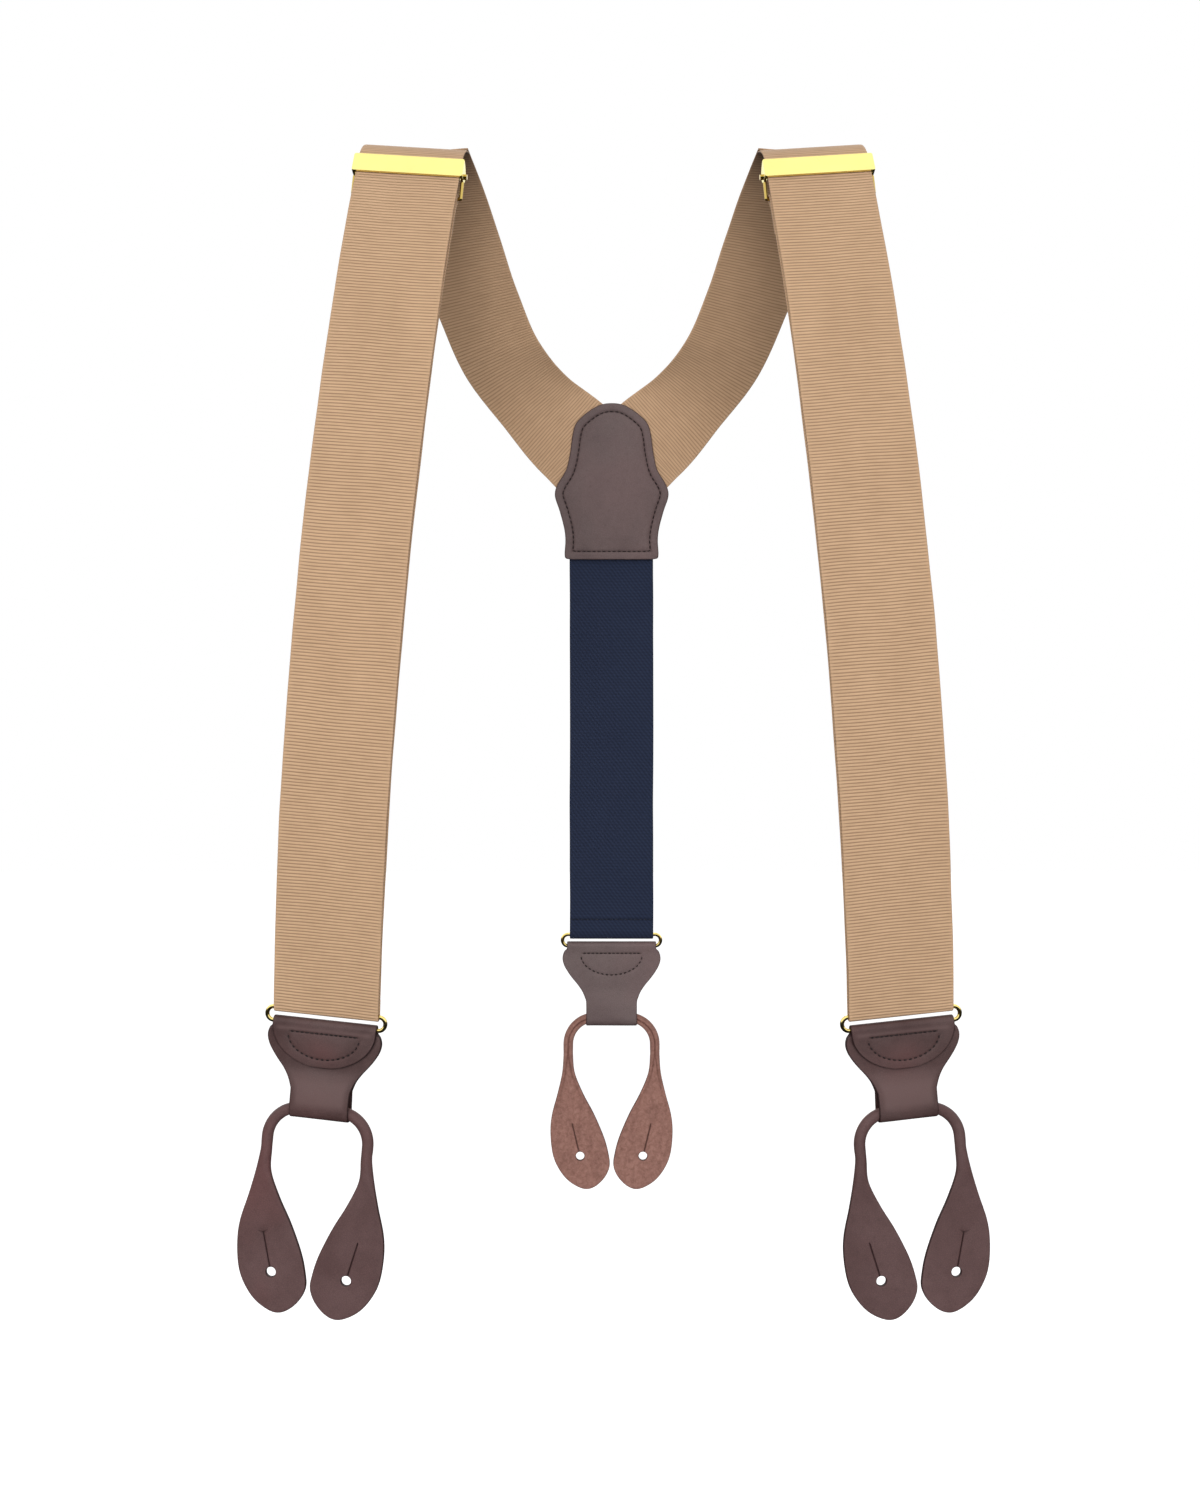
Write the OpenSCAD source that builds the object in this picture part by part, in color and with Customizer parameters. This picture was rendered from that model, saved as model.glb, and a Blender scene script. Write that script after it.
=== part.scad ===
// Button-on suspenders with a Y back, as they hang when worn.
// Two grosgrain shoulder ribbons meet in a leather patch at the back, where
// one elastic web drops to the waist. Every lower end carries a wire ring, a
// folded leather tab and a rolled leather loop with two buttonhole ears.
// Units are millimetres, +Z is up, the front of the wearer faces -Y.
// The origin lies midway between the two shoulder crests, on the underside of
// the ribbons.

/* [Webbing] */
// Width of the grosgrain shoulder ribbon
ribbon_w = 37.8; // [36:0.2:38]
// Thickness of the grosgrain ribbon
ribbon_t = 0.8; // [0.7:0.05:0.85]
// Width of the elastic back web
elastic_w = 35; // [30:0.5:36]
// Thickness of the elastic back web
elastic_t = 1.0; // [0.8:0.1:1.1]

/* [Drape] */
// Distance of each shoulder crest from the centre plane
crest_x = 71.5; // [70:0.5:78]
// Outward lean of each front strap, in degrees
lean = 5.2; // [3:0.2:5.6]
// How far the front tabs and loops hang back towards the vertical, in degrees
hang = 1.6; // [0:0.2:2]
// Outward turn of each front strap about the vertical, in degrees
yaw = 5; // [4:0.25:6]
// Forward tilt of the leather back patch, in degrees
patch_tilt = 12; // [11:0.5:13]

/* [Leather] */
// Thickness of the tab leather
leather_t = 1.1; // [0.9:0.05:1.15]
// Thickness of a buttonhole ear
ear_t = 2.0; // [1.6:0.1:2.2]
// Radius of the rolled leather loop
roll_r = 2.05; // [1.9:0.05:2.1]
// Radius of the cord inside the rolled loop
core_r = 1.1; // [0.9:0.05:1.1]
// Size of the front ears against the back ones, across and in height
front_ear = [1.035, 1.02]; // [1:0.005:1.05]
// Radius of the round end of each buttonhole
hole_r = 1.8; // [1.5:0.1:2.2]
// Width of the slit above each buttonhole
slit_w = 0.3; // [0.2:0.05:0.4]

/* [Metal] */
// Radius of the wire in the three rings
ring_wire = 0.75; // [0.65:0.05:0.78]
// Distance between the two bars of a ring, centre to centre
ring_gap = 4.85; // [4.7:0.05:5.2]
// Length of the straight bars of a front ring
ring_bar = 38; // [37.8:0.2:39]
// Length of the straight bars of the back ring
back_ring_bar = 36.4; // [35:0.2:38]
// Height of the adjuster face plate
plate_h = 7.3; // [7:0.1:9]
// Radius of the adjuster pivot pin
pin_r = 0.6; // [0.5:0.05:0.6]

/* [Hidden] */
$fn = 48;

ribbon_c = [0.76, 0.64, 0.52];
navy_c = [0.15, 0.18, 0.25];
leather_c = [0.38, 0.31, 0.30];
suede_c = [0.50, 0.37, 0.33];
gold_c = [0.93, 0.80, 0.40];
thread_c = [0.24, 0.18, 0.17];

// the front straps lie on an arc about arc_c in their own Y-Z plane; the outer
// face of the ribbon is at arc_r
arc_c = [456.5, -179.4];
arc_r = 500;
arc_top = 20;          // where the arc meets the crest bend, in degrees
arc_hem = -15.7;       // where the ribbon turns round the ring
crest_r = 14;          // outer radius of the crest bend
wrap = ring_wire + 0.12;                        // inner radius of a wrap on a ring bar
turn_r = arc_r - ribbon_t - wrap;               // arc radius of the hem turn's centre
ret_out = turn_r - wrap;                        // outer face of the return layer
ret_in = ret_out - ribbon_t;
leg_a = 0.70;                                   // length of the hem turn's legs, degrees
crest_c = [arc_c[0] - (arc_r - crest_r) * cos(arc_top), arc_c[1] + (arc_r - crest_r) * sin(arc_top)];

function arc_p(r, a) = [arc_c[0] - r * cos(a), arc_c[1] + r * sin(a)];
turn_c = arc_p(turn_r, arc_hem);

// front strap frame to the object's frame
function front_w(p) = let (x = p[0] * cos(lean) + p[2] * sin(lean), z = -p[0] * sin(lean) + p[2] * cos(lean))
    [x * cos(yaw) + p[1] * sin(yaw) - crest_x, -x * sin(yaw) + p[1] * cos(yaw), z];
function front_v(v) = front_w(v) - front_w([0, 0, 0]);
// patch frame to the object's frame
patch_o = [0, 82.5, -140];
function patch_w(p) = [p[0], patch_o[1] + p[1] * cos(patch_tilt) - p[2] * sin(patch_tilt),
                       patch_o[2] + p[1] * sin(patch_tilt) + p[2] * cos(patch_tilt)];
module front_frame() translate([-crest_x, 0, 0]) rotate([0, 0, -yaw]) rotate([0, lean, 0]) children();
module patch_frame() translate(patch_o) rotate([patch_tilt, 0, 0]) children();
module side(s) { if (s < 0) children(); else mirror([1, 0, 0]) children(); }

function unit(v) = v / norm(v);
function cr(a, b, c, d, t) = 0.5 * (2 * b + (c - a) * t + (2 * a - 5 * b + 4 * c - d) * t * t + (3 * b - a - 3 * c + d) * t * t * t);
function closed_curve(P, k) = let (n = len(P)) [for (i = [0:n - 1]) for (j = [0:k - 1])
    cr(P[(i + n - 1) % n], P[i], P[(i + 1) % n], P[(i + 2) % n], j / k)];
function open_curve(P, k) = let (n = len(P)) [for (i = [0:n - 2]) for (j = [0:i == n - 2 ? k : k - 1])
    cr(P[max(i - 1, 0)], P[i], P[i + 1], P[min(i + 2, n - 1)], j / k)];

// solids whose side view is given in Y and Z, w wide along X
module side_cut(w, P) rotate([90, 0, 90]) linear_extrude(w, center = true) polygon(P);
// solids whose front view is given in X and Z, from y0 to y1
module front_cut(y0, y1, P) translate([0, y1, 0]) rotate([90, 0, 0]) linear_extrude(y1 - y0) polygon(P);
// a band between two arc radii, from angle a0 to a1
function band(r0, r1, a0, a1, n) = concat([for (i = [0:n]) arc_p(r1, a0 + (a1 - a0) * i / n)],
                                          [for (i = [n:-1:0]) arc_p(r0, a0 + (a1 - a0) * i / n)]);
// half a turn of sheet round a bar at c, opening towards angle a
function half_turn(c, r0, r1, a, n) = concat([for (i = [0:n]) c + r1 * [cos(a + 180 * i / n), sin(a + 180 * i / n)]],
                                             [for (i = [n:-1:0]) c + r0 * [cos(a + 180 * i / n), sin(a + 180 * i / n)]]);

// ---------------------------------------------------------------- ribbons
// a strip swept through a list of sections, each given by its four corners
module strip(S) {
    n = len(S);
    polyhedron([for (s = S) each s], concat([[0, 1, 2], [0, 2, 3]],
        [for (i = [0:n - 2]) for (j = [0:3]) let (a = 4 * i + j, b = 4 * i + (j + 1) % 4) each [[a, a + 4, b + 4], [a, b + 4, b]]],
        [[4 * n - 1, 4 * n - 2, 4 * n - 3], [4 * n - 1, 4 * n - 3, 4 * n - 4]]), convexity = 8);
}
function corners(c, w, n) = [c - w * ribbon_w / 2 - n * ribbon_t / 2, c + w * ribbon_w / 2 - n * ribbon_t / 2,
                             c + w * ribbon_w / 2 + n * ribbon_t / 2, c - w * ribbon_w / 2 + n * ribbon_t / 2];
// centreline of the ribbon from above the hem to the crest, in the strap frame
mid_r = arc_r - ribbon_t / 2;
front_line = concat([for (i = [0:22]) let (a = arc_hem + leg_a + 0.03 + (arc_top - arc_hem - leg_a - 0.03) * i / 22) arc_p(mid_r, a)],
                    [for (i = [1:7]) let (a = 20 + 10 * i) crest_c + (crest_r - ribbon_t / 2) * [-cos(a), sin(a)]]);
// centreline over the shoulder and down the back, and the ribbon's width
// direction there
back_points = [[-69.2, 9, -3.6], [-65.8, 22, -10.6], [-61.3, 35.5, -22], [-54.3, 48.5, -41], [-44.5, 59, -62],
               [-29.7, 66.5, -79.5], patch_w([-13.4, 0, 47])];
back_widths = [[0.97, -0.20, -0.07], [0.955, -0.29, -0.04], [0.93, -0.366, 0], [0.86, -0.49, 0.13], [0.80, -0.54, 0.26],
               [0.70, -0.565, 0.43], patch_w([0.725, 0, 0.69]) - patch_w([0, 0, 0])];
wf = front_v([1, 0, 0]);
all_points = concat([for (p = front_line) front_w([0, p[0], p[1]])], open_curve(concat([front_w([0, front_line[29][0], front_line[29][1]])], back_points), 5));
all_widths = concat([for (p = front_line) wf], open_curve(concat([wf], back_widths), 5));
nf = len(front_line);
// near the patch the ribbon turns flat, so that it slips between the leathers
patch_n = patch_w([0, 1, 0]) - patch_w([0, 0, 0]);
line_end = all_points[len(all_points) - 1];
function twist(p) = let (t = min(1, max(0, (norm(p - line_end) - 7.5) / 42.5))) t * t * (3 - 2 * t);
function flat(p, v) = v - (1 - twist(p)) * (v * patch_n) * patch_n;
line = [for (i = [0:len(all_points) - 1]) if (i != nf) patch_o + flat(all_points[i], all_points[i] - patch_o)];
wide = [for (i = [0:len(all_points) - 1]) if (i != nf) all_widths[i]];
last_d = patch_w([0.69, 0, -0.725]) - patch_w([0, 0, 0]);
function tangent(i) = unit(i == len(line) - 1 ? last_d : line[i + 1] - line[max(i - 1, 0)]);
sections = [for (i = [0:len(line) - 1]) let (t = tangent(i), v = flat(line[i], wide[i] / norm(wide[i])), w = v - (v * t) * t) corners(line[i], w, unit(cross(t, w)))];
// the two ribbons meet edge to edge on the centre plane inside the patch
mitre = [for (p = sections[len(sections) - 1]) p + last_d * (-0.35 - p[0]) / last_d[0]];
module ribbon(s) color(ribbon_c) side(s) strip(concat(sections, [mitre]));
module left_ribbon() ribbon(-1);
module right_ribbon() ribbon(1);

// the ribbon's turn under the top bar of the ring, with two short legs
module hem_turn(s) color(ribbon_c) side(s) front_frame() side_cut(ribbon_w, concat(
    [for (i = [0:3]) arc_p(arc_r, arc_hem + leg_a * (3 - i) / 3)],
    [for (i = [1:15]) let (a = 180 - arc_hem + 180 * i / 16) turn_c + (wrap + ribbon_t) * [cos(a), sin(a)]],
    [for (i = [0:3]) arc_p(ret_in, arc_hem + leg_a * i / 3)],
    [for (i = [0:3]) arc_p(ret_out, arc_hem + leg_a * (3 - i) / 3)],
    [for (i = [1:15]) let (a = -arc_hem - 180 * i / 16) turn_c + wrap * [cos(a), sin(a)]],
    [for (i = [0:3]) arc_p(arc_r - ribbon_t, arc_hem + leg_a * i / 3)]));
module left_hem_turn() hem_turn(-1);
module right_hem_turn() hem_turn(1);

// the return layer climbs behind the front one, loops over the bail bar and
// is sewn to itself
adj_a = 19.77;                                  // place of the adjuster on the arc
bail_a = adj_a - 1.09;
bail_r = 0.65;
bar_r = ret_in - wrap;
bar_c = arc_p(bar_r, bail_a);
module return_ribbon(s) color(ribbon_c) side(s) front_frame() {
    side_cut(ribbon_w, concat(
        [for (i = [0:18]) arc_p(ret_out, arc_hem + leg_a + 0.03 + (bail_a - arc_hem - leg_a - 0.03) * i / 18)],
        [for (i = [1:15]) let (a = 180 - bail_a - 180 * i / 16) bar_c + (wrap + ribbon_t) * [cos(a), sin(a)]],
        [arc_p(bar_r - wrap - ribbon_t, bail_a), arc_p(ret_in - 0.9, bail_a - 0.55), arc_p(ret_in - 0.85, bail_a - 1.75),
         arc_p(ret_in - 0.05, bail_a - 1.75), arc_p(ret_in - 0.08, bail_a - 0.55), arc_p(bar_r - wrap, bail_a)],
        [for (i = [1:15]) let (a = -bail_a + 180 * i / 16) bar_c + wrap * [cos(a), sin(a)]],
        [for (i = [18:-1:0]) arc_p(ret_in, arc_hem + leg_a + 0.03 + (bail_a - arc_hem - leg_a - 0.03) * i / 18)]));
}
module left_return_ribbon() return_ribbon(-1);
module right_return_ribbon() return_ribbon(1);

// one stitch as a short thread between two points
module stitch(a, b, r = 0.22) {
    v = b - a;
    translate(a) rotate([0, acos(v[2] / norm(v)), atan2(v[1], v[0])]) cylinder(r = r, h = norm(v), $fn = 16);
}
// two rows of stitches across the sewn end of the return layer
module return_stitching(s) color(thread_c) side(s) front_frame()
    for (a = [bail_a - 1.0, bail_a - 1.55]) let (p = arc_p(ret_in - 0.9 - 0.25 + (bail_a - 0.55 - a) * 0.05, a))
        for (i = [0:13]) stitch([-17.2 + 2.5 * i, p[0], p[1]], [-15.5 + 2.5 * i, p[0], p[1]]);
module left_return_stitching() return_stitching(-1);
module right_return_stitching() return_stitching(1);

// ---------------------------------------------------------------- adjuster
// its own frame: X across, Y = -outwards from the ribbon face, Z up the ribbon
module adj_frame() translate([0, arc_p(arc_r, adj_a)[0], arc_p(arc_r, adj_a)[1]]) rotate([-adj_a, 0, 0]) children();
cheek_x = 19.35;
cheek_t = 0.8;
pivot = [3.4, -0.5];                            // Y and Z of the pivot in that frame
module adjuster_plate(s) color(gold_c) side(s) front_frame() adj_frame() {
    difference() {
        union() {
            front_cut(-1.15, -0.35, [for (c = [[1, 1], [-1, 1], [-1, -1], [1, -1]]) for (i = [0:4])
                let (a = (c[0] > 0 ? (c[1] > 0 ? 0 : 270) : (c[1] > 0 ? 90 : 180)) + 22.5 * i)
                [c[0] * (cheek_x + cheek_t - 0.7) + 0.7 * cos(a), c[1] * (plate_h / 2 - 0.7) + 0.7 * sin(a)]]);
            for (x = [-cheek_x - cheek_t / 2, cheek_x + cheek_t / 2]) translate([x, 0, 0])
                side_cut(cheek_t, [[-0.8, 3.2], [1.6, 2.6], [4.2, 1.2], [4.9, -0.2], [4.6, -1.6], [3.6, -3.0], [2.2, -3.4], [-0.8, -3.4]]);
        }
        translate([-30, pivot[0], pivot[1]]) rotate([0, 90, 0]) cylinder(r = pin_r + 0.02, h = 60);
    }
}
module left_adjuster_plate() adjuster_plate(-1);
module right_adjuster_plate() adjuster_plate(1);
module adjuster_pivot(s) color(gold_c) side(s) front_frame() adj_frame() translate([0, pivot[0], pivot[1]]) rotate([0, 90, 0]) {
    cylinder(r = pin_r, h = 2 * (cheek_x + cheek_t) + 0.1, center = true);
    for (k = [-1, 1]) translate([0, 0, k * (cheek_x + cheek_t + 0.42)]) cylinder(r = 1.0, h = 0.8, center = true);
}
module left_adjuster_pivot() adjuster_pivot(-1);
module right_adjuster_pivot() adjuster_pivot(1);
// toothed cam on the pivot, which bites the ribbon against the plate
module adjuster_lever(s) color(gold_c) side(s) front_frame() adj_frame() difference() {
    union() {
        translate([0, pivot[0], pivot[1]]) rotate([0, 90, 0]) cylinder(r = 1.15, h = 37, center = true);
        translate([0, 0, pivot[1] - 0.4]) linear_extrude(0.8) polygon(concat(
            [[18.2, pivot[0]], [-18.2, pivot[0]]],
            [for (i = [0:26]) each [[-18.2 + 1.4 * i - 0.0, 1.6], [-17.5 + 1.4 * i < 18.2 ? -17.5 + 1.4 * i : 18.2, i < 26 ? 1.0 : 1.6]]]));
        translate([-18.2, pivot[0] + 0.2, pivot[1]]) cube([36.4, 0.8, 7.6]);
        translate([-18.2, pivot[0] + 0.6, pivot[1] + 7.6]) rotate([0, 90, 0]) cylinder(r = 0.6, h = 36.4);
    }
    translate([-30, pivot[0], pivot[1]]) rotate([0, 90, 0]) cylinder(r = pin_r + 0.06, h = 60);
}
module left_adjuster_lever() adjuster_lever(-1);
module right_adjuster_lever() adjuster_lever(1);
// wire bail from the cheeks down to the bar that holds the return layer
module adjuster_bail(s) color(gold_c) side(s) front_frame() {
    top = arc_p(arc_r - 2.6, adj_a - 0.405);
    for (x = [-19.75, 19.75]) {
        stitch([x, bar_c[0], bar_c[1]], [x, top[0], top[1]], bail_r);
        translate([x, bar_c[0], bar_c[1]]) sphere(r = bail_r, $fn = 32);
    }
    translate([-19.75, bar_c[0], bar_c[1]]) rotate([0, 90, 0]) cylinder(r = bail_r, h = 39.5);
}
module left_adjuster_bail() adjuster_bail(-1);
module right_adjuster_bail() adjuster_bail(1);

// ---------------------------------------------------------------- rings
// a wire oval: two straight bars joined by half circles, hanging from its top
// bar, which is the origin
module ring_body(bar) translate([0, 0, -ring_gap / 2]) {
    for (z = [-ring_gap / 2, ring_gap / 2]) translate([-bar / 2, 0, z]) rotate([0, 90, 0]) cylinder(r = ring_wire, h = bar);
    for (k = [0, 1]) mirror([k, 0, 0]) translate([bar / 2, 0, 0]) rotate([90, 0, 0]) rotate([0, 0, -90])
        rotate_extrude(angle = 180) translate([ring_gap / 2, 0]) circle(r = ring_wire, $fn = 32);
}
// places of the ring's top bar
module front_end(s) side(s) front_frame() translate([0, turn_c[0], turn_c[1]]) children();
back_bar = [0, 85, -297.6];
module back_end() translate(back_bar) children();
module left_ring() color(gold_c) front_end(-1) ring_body(ring_bar);
module right_ring() color(gold_c) front_end(1) ring_body(ring_bar);
module back_ring() color(gold_c) back_end() ring_body(back_ring_bar);

// ---------------------------------------------------------------- tab
// half outline of the two strap layers of a tab: height from the ring's lower
// bar and half width
tab_half = [[2.2, 18.7], [-0.8, 18.7], [-2.5, 20], [-5, 20.6], [-7.8, 20], [-10.6, 18.5], [-13.4, 16.5], [-16.2, 14.2],
            [-19, 12.3], [-21.8, 11.1], [-24, 10.65], [-34, 10.65]];
tab_bottom = -33.5;
roll_z = tab_bottom + 3.4;                      // axis of the rolled loop in the tab
bend = 11.2;                                    // radius of the rolled loop's bends
flat = 7;                                       // half length of its straight part
function droop(x) = abs(x) < flat ? 0 : bend - sqrt(bend * bend - (abs(x) - flat) * (abs(x) - flat));
// shift of a point at height z as the tab hangs back towards the vertical
function sway(z, h) = z < 0 ? -z * tan(h) : 0;
module tab_outline(half, h) {
    P = open_curve(half, 3);
    front_cut(-6, 6, concat([for (p = P) [p[1] + sway(p[0], h), p[0]]], [for (i = [len(P) - 1:-1:0]) [-P[i][1] + sway(P[i][0], h), P[i][0]]]));
}
// the leather strip, from the flap over the bar, down the inner side, round
// the roll and up under the flap; k = -1 puts the flap on the -Y side
module tab_body(h) {
    t = leather_t;
    difference() {
        union() {
            intersection() {
                tab_outline(tab_half, h);
                union() {
                    side_cut(50, half_turn([0, 0], wrap, wrap + t, 0, 20));
                    side_cut(50, [[wrap, 0.02], [wrap + t, 0.02], [t + 0.35, -3], [t + 0.35, -15], [t + 0.6, -19], [3.0, -25.5], [3.4, roll_z - 0.02],
                                  [3.4 - t, roll_z - 0.02], [3.0 - t, -25.5], [0.6, -19], [0.35, -15], [0.35, -3]]);
                    side_cut(50, [[-0.8, -1.5], [0.36, -1.5], [0.36, -15], [t - 1.6, -19], [t - 3.0, -25.5], [t - 3.4, roll_z - 0.02],
                                  [-3.4, roll_z - 0.02], [-3.0, -25.5], [-1.6, -19], [-0.8, -15]]);
                    side_cut(50, half_turn([0, roll_z], 3.4 - t, 3.4, 180, 20));
                }
            }
            intersection() {
                front_cut(-6, 0.5, [for (i = [0:36]) let (a = 180 + 5 * i, z = wrap + t - 3 + 14 * sin(a)) [18.7 * cos(a) + sway(z, h), z]]);
                side_cut(50, [[-wrap - t, 0.02], [-wrap, 0.02], [-0.79, -1.4], [-0.79, -16], [-1.9, -16], [-wrap - t, -12]]);
            }
            intersection() {
                translate([-18.7, -6, wrap + t - 3.01]) cube([37.4, 6, 3.1 + t]);
                side_cut(50, [[-wrap - t, 0.02], [-wrap, 0.02], [-0.79, -1.6], [-wrap - t, -1.6]]);
            }
        }
        translate([sway(roll_z, h), 0, roll_z]) rotate([0, 90, 0]) rotate_extrude($fn = 48) polygon(concat([[0, -11.2]],
            [for (i = [-8:8]) let (x = i * 1.4) [roll_r + 0.15 + droop(x), x]], [[0, 11.2]]));
    }
}
module tab_stitches(h) {
    t = leather_t;
    top = wrap + t;
    for (y = [-top - 0.24, t + 0.35 + 0.24]) {
        for (i = [0:9]) stitch([-12 + 2.4 * i + sway(top - 4.9, h), y, top - 4.9], [-10.3 + 2.4 * i + sway(top - 4.9, h), y, top - 4.9]);
        for (i = [0:11]) let (a = 187 + 14 * i, b = a + 10, za = top - 5.5 + 8.5 * sin(a), zb = top - 5.5 + 8.5 * sin(b))
            stitch([12.9 * cos(a) + sway(za, h), y, za], [12.9 * cos(b) + sway(zb, h), y, zb]);
    }
}
module at_tab() translate([0, 0, -ring_gap]) children();
module left_tab() color(leather_c) front_end(-1) at_tab() tab_body(hang);
module right_tab() color(leather_c) front_end(1) at_tab() tab_body(hang);
module back_tab() color(leather_c) back_end() at_tab() mirror([0, 1, 0]) tab_body(0);
module left_tab_stitching() color(thread_c) front_end(-1) at_tab() tab_stitches(hang);
module right_tab_stitching() color(thread_c) front_end(1) at_tab() tab_stitches(hang);
module back_tab_stitching() color(thread_c) back_end() at_tab() mirror([0, 1, 0]) tab_stitches(0);

// ---------------------------------------------------------------- button loop
// the loop's own frame: X and Z from the middle of the tab's lower edge
ear = [[-16, -13.6], [-20.2, -14.5], [-20.8, -20], [-22.7, -28.5], [-25.1, -37.6], [-25.7, -45], [-24.8, -53.7], [-22.3, -60], [-17.9, -65.4],
       [-11.8, -68.6], [-7.2, -67.8], [-3, -64], [-0.9, -59.5], [-1, -55.5], [-2.9, -47.8], [-7.2, -37.6], [-12, -28.5], [-15.4, -20]];
hole = [-13.2, -54.8];
slit_top = [-16.6, -41];
module roll_path(r, leg) {
    translate([-flat, 0, roll_z - tab_bottom]) rotate([0, 90, 0]) cylinder(r = r, h = 2 * flat);
    for (k = [0, 1]) mirror([k, 0, 0]) {
        translate([flat, 0, roll_z - tab_bottom - bend]) rotate([90, 0, 0]) rotate_extrude(angle = 90) translate([bend, 0]) circle(r = r, $fn = 32);
        translate([flat + bend, 0, leg]) cylinder(r = r, h = roll_z - tab_bottom - bend - leg, $fn = 32);
    }
}
module loop_body(h, e = [1, 1]) difference() {
    union() {
        roll_path(roll_r, -15);
        for (k = [-1, 1]) {
            translate([k * (flat + bend), 0, -15]) sphere(r = roll_r + 0.03, $fn = 32);
            stitch_cone([k * (flat + bend), 0, -15], [k * 19.4 * e[0] + sway(-14, h), 0, -27], roll_r, ear_t / 2);
            front_cut(-ear_t / 2, ear_t / 2, closed_curve([for (p = ear) [-k * p[0] * e[0] + sway(p[1] + 13, h), p[1] * e[1]]], 4));
        }
    }
    roll_path(core_r + 0.04, -14);
    for (k = [-1, 1]) {
        c = [-k * hole[0] * e[0] + sway(hole[1] + 13, h), hole[1] * e[1]];
        d = [-k * slit_top[0] * e[0] + sway(slit_top[1] + 13, h), slit_top[1] * e[1]];
        translate([c[0], 0, c[1]]) rotate([90, 0, 0]) cylinder(r = hole_r, h = 10, center = true);
        translate([c[0], 0, c[1]]) rotate([0, atan2(d[0] - c[0], d[1] - c[1]), 0])
            translate([-slit_w / 2, -5, 1]) cube([slit_w, 10, norm(d - c) - 1]);
    }
}
module stitch_cone(a, b, r1, r2) {
    v = b - a;
    translate(a) rotate([0, acos(v[2] / norm(v)), atan2(v[1], v[0])]) cylinder(r1 = r1, r2 = r2, h = norm(v), $fn = 32);
}
module at_loop(h = hang) translate([sway(roll_z, h), 0, -ring_gap + tab_bottom]) children();
module left_button_loop() color(leather_c) front_end(-1) at_loop() loop_body(hang, front_ear);
module right_button_loop() color(leather_c) front_end(1) at_loop() loop_body(hang, front_ear);
module back_button_loop() color(suede_c) back_end() at_loop(0) loop_body(0);
module left_loop_core() color(ribbon_c) front_end(-1) at_loop() roll_path(core_r, -13.9);
module right_loop_core() color(ribbon_c) front_end(1) at_loop() roll_path(core_r, -13.9);
module back_loop_core() color(ribbon_c) back_end() at_loop(0) roll_path(core_r, -13.9);

// ---------------------------------------------------------------- back patch
// outline of the leather patch: X and height above its lower edge
patch_half = [[0, 0], [11, 0], [18.2, 0.2], [19.6, 1.6], [19.3, 8], [19.8, 13], [21.6, 20], [23.6, 26.5], [22.4, 31.2], [18.9, 37],
              [17.2, 44], [16.2, 51], [14.6, 56], [10.2, 60.2], [5, 63.2]];
patch_line = concat(patch_half, [[0, 64]], [for (i = [len(patch_half) - 1:-1:1]) [-patch_half[i][0], patch_half[i][1]]]);
function inset(P, d) = let (n = len(P)) [for (i = [0:n - 1])
    let (t = unit(P[(i + 1) % n] - P[(i + n - 1) % n])) P[i] + d * [-t[1], t[0]]];
patch_curve = closed_curve(patch_line, 4);
module y_patch_inner() color(leather_c) patch_frame() front_cut(-1.8, -0.7, patch_curve);
module y_patch_outer() color(leather_c) patch_frame() front_cut(0.7 + elastic_t + 0.3, 0.7 + elastic_t + 1.4, patch_curve);
module y_patch_stitching() color(thread_c) patch_frame() {
    P = inset(closed_curve(patch_line, 3), 3.4);
    for (y = [-2.04, 0.7 + elastic_t + 1.64]) for (i = [0:len(P) - 1]) let (q = P[(i + 1) % len(P)], p = P[i])
        if (norm(q - p) > 0.9) stitch([p[0], y, p[1]], [p[0] + 0.7 * (q[0] - p[0]), y, p[1] + 0.7 * (q[1] - p[1])]);
}

// ---------------------------------------------------------------- elastic back web
elastic_y = back_bar[1] - wrap - elastic_t / 2;        // middle of the hanging layer
hem_top = -288.6;
module elastic_web() color(navy_c) side_cut(elastic_w, let (a = patch_w([0, 0.7, 18]), b = patch_w([0, 0.7 + elastic_t, 18]),
    c = patch_w([0, 0.7, 3]), d = patch_w([0, 0.7 + elastic_t, 3]), h = elastic_t / 2)
    [[a[1], a[2]], [c[1], c[2]], [elastic_y - h, c[2] - 12], [elastic_y - h, hem_top + 0.15], [elastic_y + h, hem_top + 0.15],
     [elastic_y + h, d[2] - 12], [d[1], d[2]], [b[1], b[2]]]);
module elastic_hem_turn() color(navy_c) side_cut(elastic_w, concat(
    [[elastic_y - elastic_t / 2, hem_top]],
    [for (i = [0:16]) let (a = 180 + 180 * i / 16) [back_bar[1], back_bar[2]] + (wrap + elastic_t) * [cos(a), sin(a)]],
    [[back_bar[1] + wrap + elastic_t, -296], [elastic_y + elastic_t * 1.5 + 0.05, -293], [elastic_y + elastic_t * 1.5 + 0.05, hem_top],
     [elastic_y + elastic_t * 0.5 + 0.05, hem_top], [elastic_y + elastic_t * 0.5 + 0.05, -293.2], [back_bar[1] + wrap, -296.2]],
    [for (i = [0:16]) let (a = 360 - 180 * i / 16) [back_bar[1], back_bar[2]] + wrap * [cos(a), sin(a)]],
    [[elastic_y + elastic_t / 2, hem_top]]));
module elastic_hem_stitching() color(navy_c) for (y = [elastic_y - elastic_t / 2 - 0.24, elastic_y + elastic_t * 1.5 + 0.29])
    for (i = [0:13]) stitch([-16.9 + 2.45 * i, y, -291.1], [-15.1 + 2.45 * i, y, -291.1]);

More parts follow.
